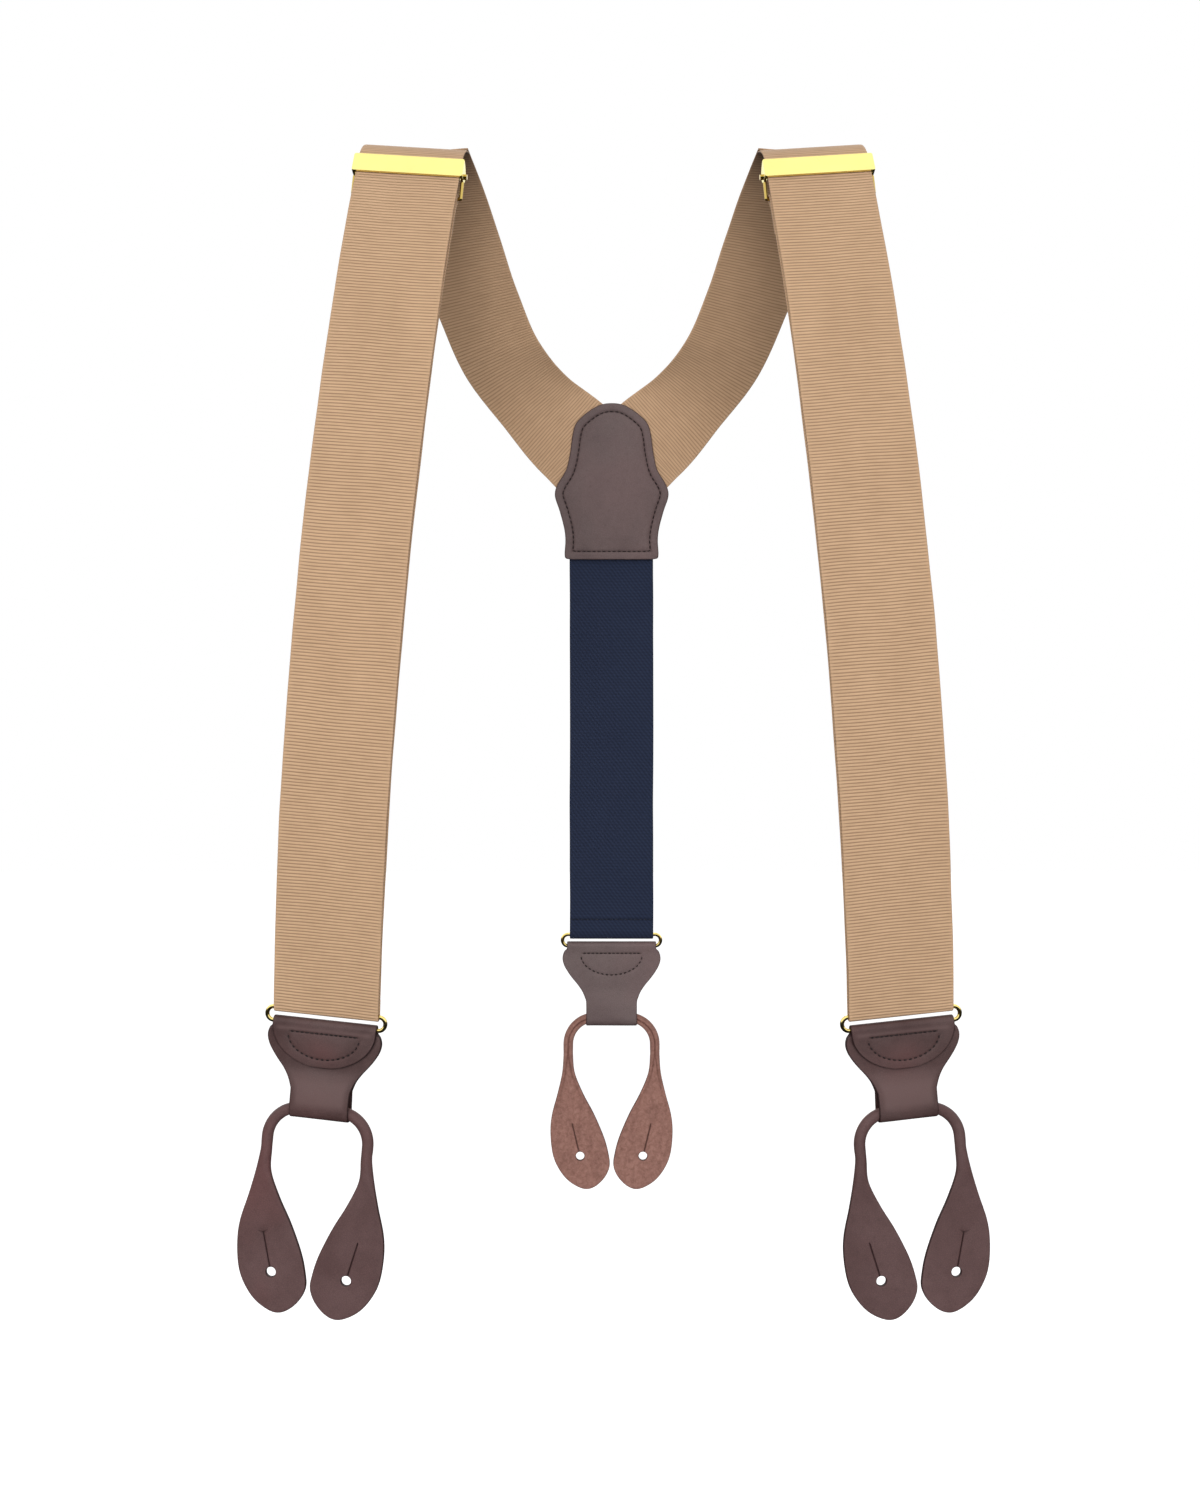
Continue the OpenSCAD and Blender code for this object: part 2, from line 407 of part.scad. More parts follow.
left_ribbon();
right_ribbon();
y_patch_inner();
y_patch_outer();
y_patch_stitching();
elastic_web();
left_hem_turn();
right_hem_turn();
left_return_ribbon();
right_return_ribbon();
left_return_stitching();
right_return_stitching();
left_adjuster_plate();
right_adjuster_plate();
left_adjuster_bail();
right_adjuster_bail();
left_adjuster_pivot();
right_adjuster_pivot();
left_adjuster_lever();
right_adjuster_lever();
left_ring();
right_ring();
back_ring();
left_tab();
right_tab();
back_tab();
left_tab_stitching();
right_tab_stitching();
back_tab_stitching();
left_button_loop();
right_button_loop();
back_button_loop();
left_loop_core();
right_loop_core();
back_loop_core();
elastic_hem_turn();
elastic_hem_stitching();
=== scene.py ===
"""Looks for the button-on suspenders: webbing, leather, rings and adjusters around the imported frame."""
import math

import bmesh
import bpy
import numpy as np
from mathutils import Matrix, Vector
from mathutils.geometry import delaunay_2d_cdt


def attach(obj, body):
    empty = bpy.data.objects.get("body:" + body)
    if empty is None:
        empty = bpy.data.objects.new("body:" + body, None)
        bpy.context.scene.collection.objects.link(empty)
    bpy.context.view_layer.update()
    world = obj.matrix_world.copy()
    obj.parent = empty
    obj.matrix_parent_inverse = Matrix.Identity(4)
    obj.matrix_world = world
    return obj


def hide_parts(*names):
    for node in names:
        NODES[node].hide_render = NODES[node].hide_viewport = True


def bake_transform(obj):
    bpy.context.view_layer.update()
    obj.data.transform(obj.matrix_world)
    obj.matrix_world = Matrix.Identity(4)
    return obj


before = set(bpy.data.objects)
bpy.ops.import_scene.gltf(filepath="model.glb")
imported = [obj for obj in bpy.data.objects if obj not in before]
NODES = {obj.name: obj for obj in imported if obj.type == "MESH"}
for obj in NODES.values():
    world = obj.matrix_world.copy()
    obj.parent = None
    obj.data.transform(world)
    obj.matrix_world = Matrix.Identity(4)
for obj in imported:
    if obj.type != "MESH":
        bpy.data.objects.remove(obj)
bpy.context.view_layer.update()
MM = 0.001
rng = np.random.default_rng(7)

# ------------------------------------------------------------------ camera
cam_data = bpy.data.cameras.new("camera")
cam_data.lens, cam_data.sensor_width = 38.6, 36.0
cam_data.clip_start, cam_data.clip_end = 0.01, 50
cam = bpy.data.objects.new("camera", cam_data)
cam.location = (-0.00485, -0.592, -0.220)
cam.rotation_euler = (math.pi / 2, 0, 0)
bpy.context.scene.collection.objects.link(cam)
bpy.context.scene.camera = cam

# ------------------------------------------------------------------ the part's own geometry, in millimetres
RW, RT, EW, ET, LT, EAR_T = 37.8, 0.8, 35.0, 1.0, 1.1, 2.0
CREST_X, LEAN, HANG, YAW = 71.5, math.radians(5.2), math.radians(1.6), math.radians(5)
ROLL_R, HOLE_R, SLIT = 2.05, 1.8, 0.05
EAR_FRONT = (1.035, 1.02)
RING_GAP = 4.85
ARC_C = np.array([456.5, -179.4])
ARC_R, TOP_A, HEM_A, CREST_R = 500.0, 20.0, -15.7, 14.0
WRAP = 0.87
TURN_R = ARC_R - RT - WRAP
RET_OUT = TURN_R - WRAP
RET_IN = RET_OUT - RT
ADJ_A = 19.77
BAIL_A = ADJ_A - 1.09
rad = math.radians


def arc(r, a):
    a = np.radians(a)
    return np.stack([ARC_C[0] - r * np.cos(a), ARC_C[1] + r * np.sin(a)], -1)


TURN_C = arc(TURN_R, HEM_A)
CREST_C = arc(ARC_R - CREST_R, TOP_A)
BAR_C = arc(RET_IN - WRAP, BAIL_A)


def front(p):
    """Strap frame to the row frame, left side."""
    p = np.asarray(p, float)
    x = p[..., 0] * math.cos(LEAN) + p[..., 2] * math.sin(LEAN)
    z = -p[..., 0] * math.sin(LEAN) + p[..., 2] * math.cos(LEAN)
    y = p[..., 1]
    return np.stack(
        [x * math.cos(YAW) + y * math.sin(YAW) - CREST_X, -x * math.sin(YAW) + y * math.cos(YAW), z], -1
    )


TILT = rad(12)


def patch(p):
    p = np.asarray(p, float)
    return np.stack(
        [
            p[..., 0],
            82.5 + p[..., 1] * math.cos(TILT) - p[..., 2] * math.sin(TILT),
            -140 + p[..., 1] * math.sin(TILT) + p[..., 2] * math.cos(TILT),
        ],
        -1,
    )


def curve(P, k, closed=False):
    """Catmull-Rom through P, k steps to a span."""
    P = [np.asarray(p, float) for p in P]
    n, out = len(P), []
    spans = n if closed else n - 1
    for i in range(spans):
        if closed:
            a, b, c, d = P[i - 1], P[i], P[(i + 1) % n], P[(i + 2) % n]
        else:
            a, b, c, d = P[max(i - 1, 0)], P[i], P[i + 1], P[min(i + 2, n - 1)]
        for j in range(k):
            t = j / k
            out.append(
                0.5 * (2 * b + (c - a) * t + (2 * a - 5 * b + 4 * c - d) * t * t + (3 * b - a - 3 * c + d) * t**3)
            )
    if not closed:
        out.append(P[-1])
    return np.array(out)


def smooth(x, lo, hi):
    t = np.clip((np.asarray(x, float) - lo) / (hi - lo), 0, 1)
    return t * t * (3 - 2 * t)


def length_of(P):
    return np.concatenate([[0], np.cumsum(np.linalg.norm(np.diff(P, axis=0), axis=1))])


def resample(P, s):
    L = length_of(P)
    return np.stack([np.interp(s, L, P[:, i]) for i in range(P.shape[1])], -1)


def wander(x, seed, scale, amp):
    """Smooth seeded waviness of one number."""
    r = np.random.default_rng(seed)
    out = np.zeros_like(np.asarray(x, float))
    for k in range(4):
        out += np.sin(np.asarray(x) * (0.6 + 0.9 * k + r.random()) / scale + r.random() * 6.28) / (1 + k)
    return out * amp / 1.6


# ------------------------------------------------------------------ mesh helpers
def build(name, V, F, mirror=False, mats=(), index=None, attrs=None, uv=None, sharp=None, weld=0.0, cut=None):
    """A mesh object from points in millimetres in the row frame."""
    V = np.array(V, float) * MM
    if mirror:
        V[:, 0] *= -1
    me = bpy.data.meshes.new(name)
    me.from_pydata(V.tolist(), [], [list(map(int, f)) for f in F])
    for m in mats:
        me.materials.append(m)
    if index is not None:
        me.polygons.foreach_set("material_index", np.asarray(index, np.int32))
    for key, values in (attrs or {}).items():
        me.attributes.new(key, "FLOAT", "POINT").data.foreach_set("value", np.asarray(values, np.float32))
    if uv is not None:
        layer = me.uv_layers.new(name="cloth")
        loops = np.zeros(len(me.loops), np.int32)
        me.loops.foreach_get("vertex_index", loops)
        layer.data.foreach_set("uv", np.asarray(uv, np.float32)[loops].ravel())
    bm = bmesh.new()
    bm.from_mesh(me)
    if weld:
        bmesh.ops.remove_doubles(bm, verts=bm.verts, dist=weld * MM)
        bmesh.ops.dissolve_degenerate(bm, dist=weld * MM * 0.5, edges=bm.edges)
    if cut is not None:
        side = -1.0 if mirror else 1.0
        geom = bm.verts[:] + bm.edges[:] + bm.faces[:]
        bmesh.ops.bisect_plane(bm, geom=geom, dist=1e-7, plane_co=(side * cut * MM, 0, 0), plane_no=(side, 0, 0), clear_outer=True)
        bmesh.ops.holes_fill(bm, edges=[e for e in bm.edges if e.is_boundary], sides=0)
    bmesh.ops.recalc_face_normals(bm, faces=bm.faces)
    bm.to_mesh(me)
    bm.free()
    me.shade_smooth()
    if sharp:
        me.set_sharp_from_angle(angle=rad(sharp))
    o = bpy.data.objects.new(name, me)
    bpy.context.scene.collection.objects.link(o)
    return o


def tube_faces(rows, ring, close_ends=True):
    """Quads of a closed-section strip with rows x ring points."""
    i, j = np.meshgrid(np.arange(rows - 1), np.arange(ring), indexing="ij")
    a = i * ring + j
    b = i * ring + (j + 1) % ring
    F = np.stack([a, b, b + ring, a + ring], -1).reshape(-1, 4).tolist()
    return F


def strip_cap(row, cols, ring):
    """Quads that close one end of a strip whose ring runs along the top face and back along the bottom."""
    base = row * ring
    out = []
    for j in range(cols - 1):
        out.append([base + j, base + j + 1, base + ring - 2 - j, base + ring - 1 - j])
    return out


# ------------------------------------------------------------------ materials
def material(name):
    m = bpy.data.materials.new(name)
    m.use_nodes = True
    nt = m.node_tree
    return m, nt, nt.nodes["Principled BSDF"]


def node(nt, kind, **values):
    n = nt.nodes.new(kind)
    for k, v in values.items():
        if hasattr(n, k):
            setattr(n, k, v)
        else:
            n.inputs[k].default_value = v
    return n


def ramp(nt, factor, stops):
    r = nt.nodes.new("ShaderNodeValToRGB")
    e = r.color_ramp.elements
    while len(e) < len(stops):
        e.new(0.5)
    for el, (pos, col) in zip(e, stops):
        el.position, el.color = pos, (*col, 1)
    nt.links.new(factor, r.inputs[0])
    return r.outputs[0]


def mix(nt, kind, factor, a, b):
    n = nt.nodes.new("ShaderNodeMix")
    n.data_type, n.blend_type = "RGBA", kind
    for sock, v in ((n.inputs[0], factor), (n.inputs[6], a), (n.inputs[7], b)):
        if isinstance(v, bpy.types.NodeSocket):
            nt.links.new(v, sock)
        else:
            sock.default_value = v if not isinstance(v, tuple) else (*v, 1)
    return n.outputs[2]


def math_node(nt, op, a, b=None):
    n = nt.nodes.new("ShaderNodeMath")
    n.operation = op
    for sock, v in zip(n.inputs, (a, b)):
        if v is None:
            continue
        if isinstance(v, bpy.types.NodeSocket):
            nt.links.new(v, sock)
        else:
            sock.default_value = v
    return n.outputs[0]


def bump(nt, height, strength, distance, normal=None):
    n = node(nt, "ShaderNodeBump", Strength=strength, Distance=distance)
    nt.links.new(height, n.inputs["Height"])
    if normal is not None:
        nt.links.new(normal, n.inputs["Normal"])
    return n.outputs[0]


def attribute(nt, name):
    n = nt.nodes.new("ShaderNodeAttribute")
    n.attribute_name = name
    return n.outputs["Fac"]


def place(nt, source="Object", scale=(1, 1, 1), uv=False):
    if uv:
        c = nt.nodes.new("ShaderNodeUVMap")
        c.uv_map = "cloth"
        out = c.outputs[0]
    else:
        out = nt.nodes.new("ShaderNodeTexCoord").outputs[source]
    m = nt.nodes.new("ShaderNodeMapping")
    m.inputs["Scale"].default_value = scale
    nt.links.new(out, m.inputs[0])
    return m.outputs[0]


def noise(nt, coord, scale, detail=4.0, rough=0.55, distort=0.0):
    n = node(nt, "ShaderNodeTexNoise", Scale=scale, Detail=detail, Roughness=rough, Distortion=distort)
    nt.links.new(coord, n.inputs["Vector"])
    return n.outputs["Fac"]


def wave(nt, coord, scale, direction="X", distort=0.0, detail=2.0):
    n = node(nt, "ShaderNodeTexWave", Scale=scale, Distortion=distort, Detail=detail)
    n.wave_type, n.bands_direction, n.wave_profile = "BANDS", direction, "SIN"
    nt.links.new(coord, n.inputs["Vector"])
    return n.outputs["Fac"]


def grosgrain():
    m, nt, b = material("grosgrain")
    link = nt.links.new
    cloth = place(nt, uv=True)
    rib = attribute(nt, "rib")
    # painted shade: the rib attribute makes the grooves between the ribs much darker than the rib crests
    base = ramp(nt, rib, [(0.0, (0.26, 0.155, 0.086)), (0.35, (0.455, 0.288, 0.165)), (0.75, (0.64, 0.414, 0.25)), (1.0, (0.695, 0.465, 0.287))])
    blotch = noise(nt, place(nt, uv=True, scale=(0.05, 0.022, 1)), 1.0, 3.0, 0.5)
    base = mix(nt, "MULTIPLY", 0.55, base, ramp(nt, blotch, [(0.3, (0.86, 0.84, 0.82)), (0.7, (1.0, 1.0, 1.0))]))
    slub = noise(nt, place(nt, uv=True, scale=(0.12, 1.02, 1)), 1.0, 2.0, 0.6)
    base = mix(nt, "MULTIPLY", 0.5, base, ramp(nt, slub, [(0.3, (0.80, 0.78, 0.76)), (0.62, (1.0, 1.0, 1.0))]))
    yarn = wave(nt, cloth, 0.72, "X", 1.2, 2.0)
    base = mix(nt, "MULTIPLY", 0.35, base, ramp(nt, yarn, [(0.0, (0.84, 0.82, 0.80)), (0.5, (1.0, 1.0, 1.0))]))
    # painted shade: the under attribute darkens the webbing's inner face just past the shoulder crest, where the strap
    # shades itself
    base = mix(nt, "MULTIPLY", 1.0, base, ramp(nt, attribute(nt, "under"), [(0.0, (1.0, 1.0, 1.0)), (1.0, (0.22, 0.19, 0.18))]))
    link(base, b.inputs["Base Color"])
    fibre = noise(nt, place(nt, uv=True, scale=(4.0, 1.2, 1)), 1.0, 5.0, 0.65)
    h = bump(nt, yarn, 0.35, 0.00006)
    h = bump(nt, fibre, 0.30, 0.00005, h)
    link(h, b.inputs["Normal"])
    r = ramp(nt, fibre, [(0.3, (0.55,) * 3), (0.7, (0.72,) * 3)])
    link(r, b.inputs["Roughness"])
    b.inputs["Specular IOR Level"].default_value = 0.35
    b.inputs["Sheen Weight"].default_value = 0.12
    b.inputs["Sheen Roughness"].default_value = 0.45
    return m


def elastic():
    m, nt, b = material("navy_elastic")
    link = nt.links.new
    cloth = place(nt, uv=True)
    diag = nt.nodes.new("ShaderNodeMapping")
    diag.inputs["Rotation"].default_value = (0, 0, rad(38))
    link(cloth, diag.inputs[0])
    twill = wave(nt, diag.outputs[0], 0.235, "X", 1.6, 2.0)
    weft = wave(nt, cloth, 0.55, "Y", 0.8, 2.0)
    warp = wave(nt, cloth, 0.62, "X", 0.6, 2.0)
    weave = math_node(nt, "MULTIPLY", math_node(nt, "ADD", weft, warp), 0.5)
    fleck = noise(nt, place(nt, uv=True, scale=(0.95, 1.25, 1)), 1.0, 4.0, 0.7)
    base = ramp(nt, twill, [(0.1, (0.0155, 0.0235, 0.052)), (0.55, (0.019, 0.029, 0.064)), (1.0, (0.0225, 0.034, 0.074))])
    base = mix(nt, "MULTIPLY", 0.38, base, ramp(nt, fleck, [(0.3, (0.62, 0.64, 0.68)), (0.65, (1.0, 1.0, 1.0))]))
    large = noise(nt, place(nt, uv=True, scale=(0.05, 0.05, 1)), 1.0, 3.0, 0.5)
    base = mix(nt, "MULTIPLY", 0.5, base, ramp(nt, large, [(0.3, (0.82, 0.84, 0.88)), (0.7, (1.0, 1.0, 1.0))]))
    # painted shade: the rib attribute darkens the grooves between ribs, the sunk hem line and the web towards its fold
    # round the bar
    base = mix(nt, "MULTIPLY", 0.85, base, ramp(nt, attribute(nt, "rib"), [(0.0, (0.35, 0.36, 0.4)), (1.0, (1.0, 1.0, 1.0))]))
    link(base, b.inputs["Base Color"])
    h = bump(nt, weave, 0.5, 0.00008)
    h = bump(nt, twill, 0.22, 0.00008, h)
    h = bump(nt, fleck, 0.12, 0.00006, h)
    link(h, b.inputs["Normal"])
    link(ramp(nt, fleck, [(0.3, (0.72,) * 3), (0.7, (0.88,) * 3)]), b.inputs["Roughness"])
    b.inputs["Specular IOR Level"].default_value = 0.25
    b.inputs["Sheen Weight"].default_value = 0.10
    b.inputs["Sheen Roughness"].default_value = 0.5
    return m


def leather(name, low, high, warm, rough=(0.40, 0.54)):
    m, nt, b = material(name)
    link = nt.links.new
    co = place(nt)
    cloud = noise(nt, co, 45.0, 4.0, 0.55, 0.4)
    fine = noise(nt, co, 420.0, 6.0, 0.62)
    pores = nt.nodes.new("ShaderNodeTexVoronoi")
    pores.feature = "DISTANCE_TO_EDGE"
    pores.inputs["Scale"].default_value = 1500.0
    link(co, pores.inputs["Vector"])
    grain = ramp(nt, pores.outputs["Distance"], [(0.0, (0, 0, 0)), (0.12, (0.8,) * 3), (0.4, (1, 1, 1))])
    base = ramp(nt, cloud, [(0.33, low), (0.66, high)])
    tint = noise(nt, co, 22.0, 3.0, 0.5)
    base = mix(nt, "MIX", ramp(nt, tint, [(0.48, (0, 0, 0)), (0.68, (0.75,) * 3)]), base, warm)
    base = mix(nt, "MULTIPLY", 0.30, base, ramp(nt, fine, [(0.3, (0.74,) * 3), (0.6, (1, 1, 1))]))
    base = mix(nt, "MULTIPLY", 0.22, base, grain)
    base = mix(nt, "MIX", attribute(nt, "worn"), base, tuple(c * 1.32 + 0.006 for c in high))
    base = mix(nt, "MIX", attribute(nt, "blush"), base, (warm[0] * 1.12, warm[1], warm[2]))
    # edge: darker cut edges, stitch lines and inner faces, and on the tabs painted shade along the flap's cut edge
    edge = attribute(nt, "edge")
    base = mix(nt, "MULTIPLY", 1.0, base, ramp(nt, edge, [(0.0, (1, 1, 1)), (0.5, (0.62, 0.57, 0.57)), (1.0, (0.30, 0.26, 0.27))]))
    link(base, b.inputs["Base Color"])
    h = bump(nt, grain, 0.22, 0.00005)
    h = bump(nt, fine, 0.30, 0.00012, h)
    h = bump(nt, cloud, 0.25, 0.0004, h)
    link(h, b.inputs["Normal"])
    link(ramp(nt, fine, [(0.3, (rough[0],) * 3), (0.7, (rough[1],) * 3)]), b.inputs["Roughness"])
    b.inputs["Specular IOR Level"].default_value = 0.34
    return m


def suede():
    m, nt, b = material("suede")
    link = nt.links.new
    co = place(nt)
    nap = noise(nt, co, 620.0, 8.0, 0.72, 0.6)
    streak = noise(nt, place(nt, scale=(1.0, 1.0, 0.45)), 260.0, 5.0, 0.65, 0.8)
    cloud = noise(nt, co, 60.0, 4.0, 0.6, 0.3)
    base = ramp(nt, nap, [(0.28, (0.215, 0.104, 0.080)), (0.5, (0.325, 0.168, 0.135)), (0.74, (0.43, 0.235, 0.192))])
    base = mix(nt, "MULTIPLY", 0.65, base, ramp(nt, streak, [(0.30, (0.70, 0.68, 0.68)), (0.62, (1, 1, 1))]))
    base = mix(nt, "MULTIPLY", 0.5, base, ramp(nt, cloud, [(0.3, (0.80, 0.78, 0.78)), (0.7, (1, 1, 1))]))
    edge = attribute(nt, "edge")
    base = mix(nt, "MULTIPLY", 1.0, base, ramp(nt, edge, [(0.0, (1, 1, 1)), (0.5, (0.55, 0.47, 0.46)), (1.0, (0.22, 0.18, 0.18))]))
    link(base, b.inputs["Base Color"])
    h = bump(nt, nap, 0.55, 0.00022)
    h = bump(nt, streak, 0.35, 0.00025, h)
    link(h, b.inputs["Normal"])
    b.inputs["Roughness"].default_value = 0.92
    b.inputs["Specular IOR Level"].default_value = 0.12
    b.inputs["Sheen Weight"].default_value = 0.25
    b.inputs["Sheen Roughness"].default_value = 0.6
    b.inputs["Sheen Tint"].default_value = (0.85, 0.6, 0.52, 1)
    return m


def gilt(name, base, lo, hi):
    m, nt, b = material(name)
    link = nt.links.new
    co = place(nt)
    haze = noise(nt, co, 180.0, 4.0, 0.6)
    link(ramp(nt, haze, [(0.35, (lo,) * 3), (0.7, (hi,) * 3)]), b.inputs["Roughness"])
    tone = noise(nt, co, 60.0, 3.0, 0.5)
    link(ramp(nt, tone, [(0.3, tuple(c * 0.94 for c in base)), (0.7, base)]), b.inputs["Base Color"])
    fine = noise(nt, place(nt, scale=(0.15, 1, 1)), 900.0, 3.0, 0.6)
    link(bump(nt, fine, 0.05, 0.00003), b.inputs["Normal"])
    b.inputs["Metallic"].default_value = 1.0
    return m


def thread(name, dark, light):
    m, nt, b = material(name)
    link = nt.links.new
    co = place(nt, scale=(1, 1, 1))
    ply = wave(nt, co, 480.0, "DIAGONAL", 0.6, 1.0)
    link(ramp(nt, ply, [(0.1, dark), (0.9, light)]), b.inputs["Base Color"])
    link(bump(nt, ply, 0.5, 0.00006), b.inputs["Normal"])
    b.inputs["Roughness"].default_value = 0.75
    return m


M_RIBBON, M_ELASTIC = grosgrain(), elastic()
M_TAB = leather("tab_leather", (0.080, 0.042, 0.040), (0.116, 0.069, 0.066), (0.128, 0.057, 0.055))
M_PATCH = leather("patch_leather", (0.144, 0.100, 0.099), (0.175, 0.128, 0.125), (0.186, 0.122, 0.121))
M_EAR = leather("loop_leather", (0.112, 0.058, 0.056), (0.146, 0.081, 0.079), (0.165, 0.073, 0.071), (0.44, 0.6))
M_SUEDE = suede()
M_GOLD = gilt("gilt_plate", (1.0, 0.88, 0.31), 0.16, 0.28)
M_WIRE = gilt("gilt_wire", (1.0, 0.80, 0.28), 0.07, 0.14)
# painted shade: the bail and pivot get the same gilt as the wire with a darker base colour, so that they read dark
M_BAIL_SHADED = gilt("gilt_bail_painted_shade", (0.60, 0.44, 0.12), 0.10, 0.18)
M_THREAD = thread("brown_thread", (0.008, 0.005, 0.005), (0.030, 0.018, 0.017))
M_NAVY_THREAD = thread("navy_thread", (0.006, 0.008, 0.016), (0.020, 0.027, 0.050))
M_CORD = thread("cotton_cord", (0.42, 0.34, 0.25), (0.62, 0.53, 0.42))

# ------------------------------------------------------------------ webbing
EDGE = [0.0, 0.10, 0.38, 0.85, 1.55, 2.7]


def columns(width, middle):
    h = width / 2
    e = [-h + v for v in EDGE]
    inner = np.linspace(-h + 4.8, h - 4.8, middle)
    return np.array(e + inner.tolist() + [-v for v in reversed(e)])


def web(name, P, W, width, thick, pitch, amp, mats, mirror=False, seed=1, middle=10, steps=((0.0, 0.0), (0.22, 0.8), (0.5, 1.0), (0.78, 0.8)), wavy=0.16, sink=None, rows=(), dark=None, cut=None, under=None):
    """A ribbed web along the centreline P with width directions W (row frame, mm)."""
    L = length_of(P)
    total = L[-1]
    n = max(2, int(round(total / pitch)))
    p = total / n
    jit = np.random.default_rng(seed).normal(0, 0.03, n + 1)
    jit[0] = jit[-1] = 0
    s, rib = [], []
    for k in range(n):
        lo, hi = (k + jit[k]) * p, (k + 1 + jit[k + 1]) * p
        for t, h in steps:
            s.append(lo + (hi - lo) * t)
            rib.append(h)
    s.append(total)
    rib.append(0.0)
    s, rib = np.array(s), np.array(rib)
    if len(rows):
        more = np.array(rows)
        rib = np.concatenate([rib, np.interp(more, s, rib)])
        s = np.concatenate([s, more])
        order = np.argsort(s, kind="stable")
        s, rib = s[order], rib[order]
    c = columns(width, middle)
    K = len(c)
    h = width / 2
    e = h - np.abs(c)  # distance from the selvedge
    fade = smooth(e, 0.25, 1.5)
    S = np.repeat(s[:, None], K, 1)
    env = smooth(s, 2, 9) * smooth(total - s, 2, 9)
    S = S + env[:, None] * (
        wavy * (np.sin(c[None, :] / 6.3 + s[:, None] / 27) * 0.7 + np.sin(c[None, :] / 3.4 - s[:, None] / 15 + seed) * 0.35)
        + wander(s, seed + 5, 9.0, 0.10)[:, None] * c[None, :] / h
    )
    S = np.clip(S, 0, total)
    pos = np.stack([np.interp(S, L, P[:, i]) for i in range(3)], -1)
    step = 0.6
    ahead = np.stack([np.interp(np.clip(S + step, 0, total), L, P[:, i]) for i in range(3)], -1)
    behind = np.stack([np.interp(np.clip(S - step, 0, total), L, P[:, i]) for i in range(3)], -1)
    t = ahead - behind
    t /= np.linalg.norm(t, axis=-1, keepdims=True)
    w = np.stack([np.interp(S, L, W[:, i]) for i in range(3)], -1)
    long = np.linalg.norm(w, axis=-1, keepdims=True)
    w -= (w * t).sum(-1, keepdims=True) * t
    w *= long / np.linalg.norm(w, axis=-1, keepdims=True)
    nrm = np.cross(t, w / long)
    half = thick / 2
    prof = np.where(e < 0.05, 0.50, np.where(e < 0.2, 0.78, np.where(e < 0.5, 0.93, np.where(e < 1.0, 0.97, 1.0))))
    relief = amp * (1 - rib)[:, None] * (0.25 + 0.75 * fade)[None, :]
    thickness = half * prof[None, :] - relief
    if sink is not None:
        thickness = thickness - sink(S, c[None, :])
    cc = c[None, :] * (1 + 0.0022 * rib[:, None]) + wander(s, seed + 11, 14.0, 0.10)[:, None]
    outer = pos + w * cc[..., None] - nrm * thickness[..., None]
    inner = pos + w * cc[..., None] + nrm * thickness[..., None]
    ring = np.concatenate([outer, inner[:, ::-1]], 1)
    V = ring.reshape(-1, 3)
    R = 2 * K
    F = tube_faces(len(s), R) + strip_cap(0, K, R) + strip_cap(len(s) - 1, K, R)
    # painted shade: shade is low in the grooves between ribs and high on their crests, and the materials darken the
    # grooves by it
    shade = np.repeat(rib[:, None], K, 1) * (0.55 + 0.45 * fade)[None, :] + (1 - (0.55 + 0.45 * fade))[None, :] * 0.75
    # dark: further painted shade, given per web as a function of length and position across
    if dark is not None:
        shade = shade * (1 - dark(S, cc))
    shade = np.concatenate([shade, shade[:, ::-1]], 1).ravel()
    # painted shade: under gives how much the inner face is darkened, by length along the web
    painted_shade = S * 0 if under is None else under(S)
    painted_shade = np.concatenate([S * 0, painted_shade[:, ::-1]], 1).ravel()
    uv = np.stack([np.concatenate([cc, cc[:, ::-1] + 60], 1), np.concatenate([S, S[:, ::-1] + 17], 1)], -1).reshape(-1, 2)
    o = build(name, V, F, mirror, mats, None, {"rib": shade, "under": painted_shade}, uv, sharp=75, cut=cut)
    return o, total


def strap_line(yz):
    P = np.stack([np.zeros(len(yz)), yz[:, 0], yz[:, 1]], -1)
    return front(P)


wf = front([1, 0, 0]) - front([0, 0, 0])
mid_r = ARC_R - RT / 2
mid_ret = (RET_OUT + RET_IN) / 2
turn_mid = WRAP + RT / 2
SPLIT_A = 19.77

# the front layer with its turn round the ring
a = np.radians(np.linspace(-HEM_A, -HEM_A - 180, 41))
turn = TURN_C + turn_mid * np.stack([np.cos(a), np.sin(a)], -1)
front_yz = np.concatenate(
    [arc(mid_ret, np.linspace(HEM_A + 0.72, HEM_A, 6))[:-1], turn, arc(mid_r, np.linspace(HEM_A, SPLIT_A, 181))[1:]]
)
front_P = strap_line(front_yz)
front_W = np.repeat(wf[None], len(front_P), 0)

# over the shoulder and down the back to the patch
a = np.radians(np.linspace(TOP_A, 90, 29))
crest = CREST_C + (CREST_R - RT / 2) * np.stack([-np.cos(a), np.sin(a)], -1)
head_yz = np.concatenate([arc(mid_r, np.array([SPLIT_A, TOP_A]))[:1], crest])
head_P = strap_line(head_yz)
back_points = [head_P[-1], [-69.2, 9, -3.6], [-65.8, 22, -10.6], [-61.3, 35.5, -22], [-54.3, 48.5, -41], [-44.5, 59, -62], [-29.7, 66.5, -79.5], patch([-13.4, 0, 47])]
back_widths = [wf, [0.97, -0.20, -0.07], [0.955, -0.29, -0.04], [0.93, -0.366, 0], [0.86, -0.49, 0.13], [0.80, -0.54, 0.26], [0.70, -0.565, 0.43], patch([0.725, 0, 0.69]) - patch([0, 0, 0])]
back_P, back_W = curve(back_points, 40), curve(back_widths, 40)
PATCH_O, PATCH_N = patch([0, 0, 0]), patch([0, 1, 0]) - patch([0, 0, 0])
into = patch([0.69, 0, -0.725]) - PATCH_O
into /= np.linalg.norm(into)
IN_LEN = 34.0
tw = smooth(np.linalg.norm(back_P - back_P[-1], axis=1), 7.5, 50)[:, None]
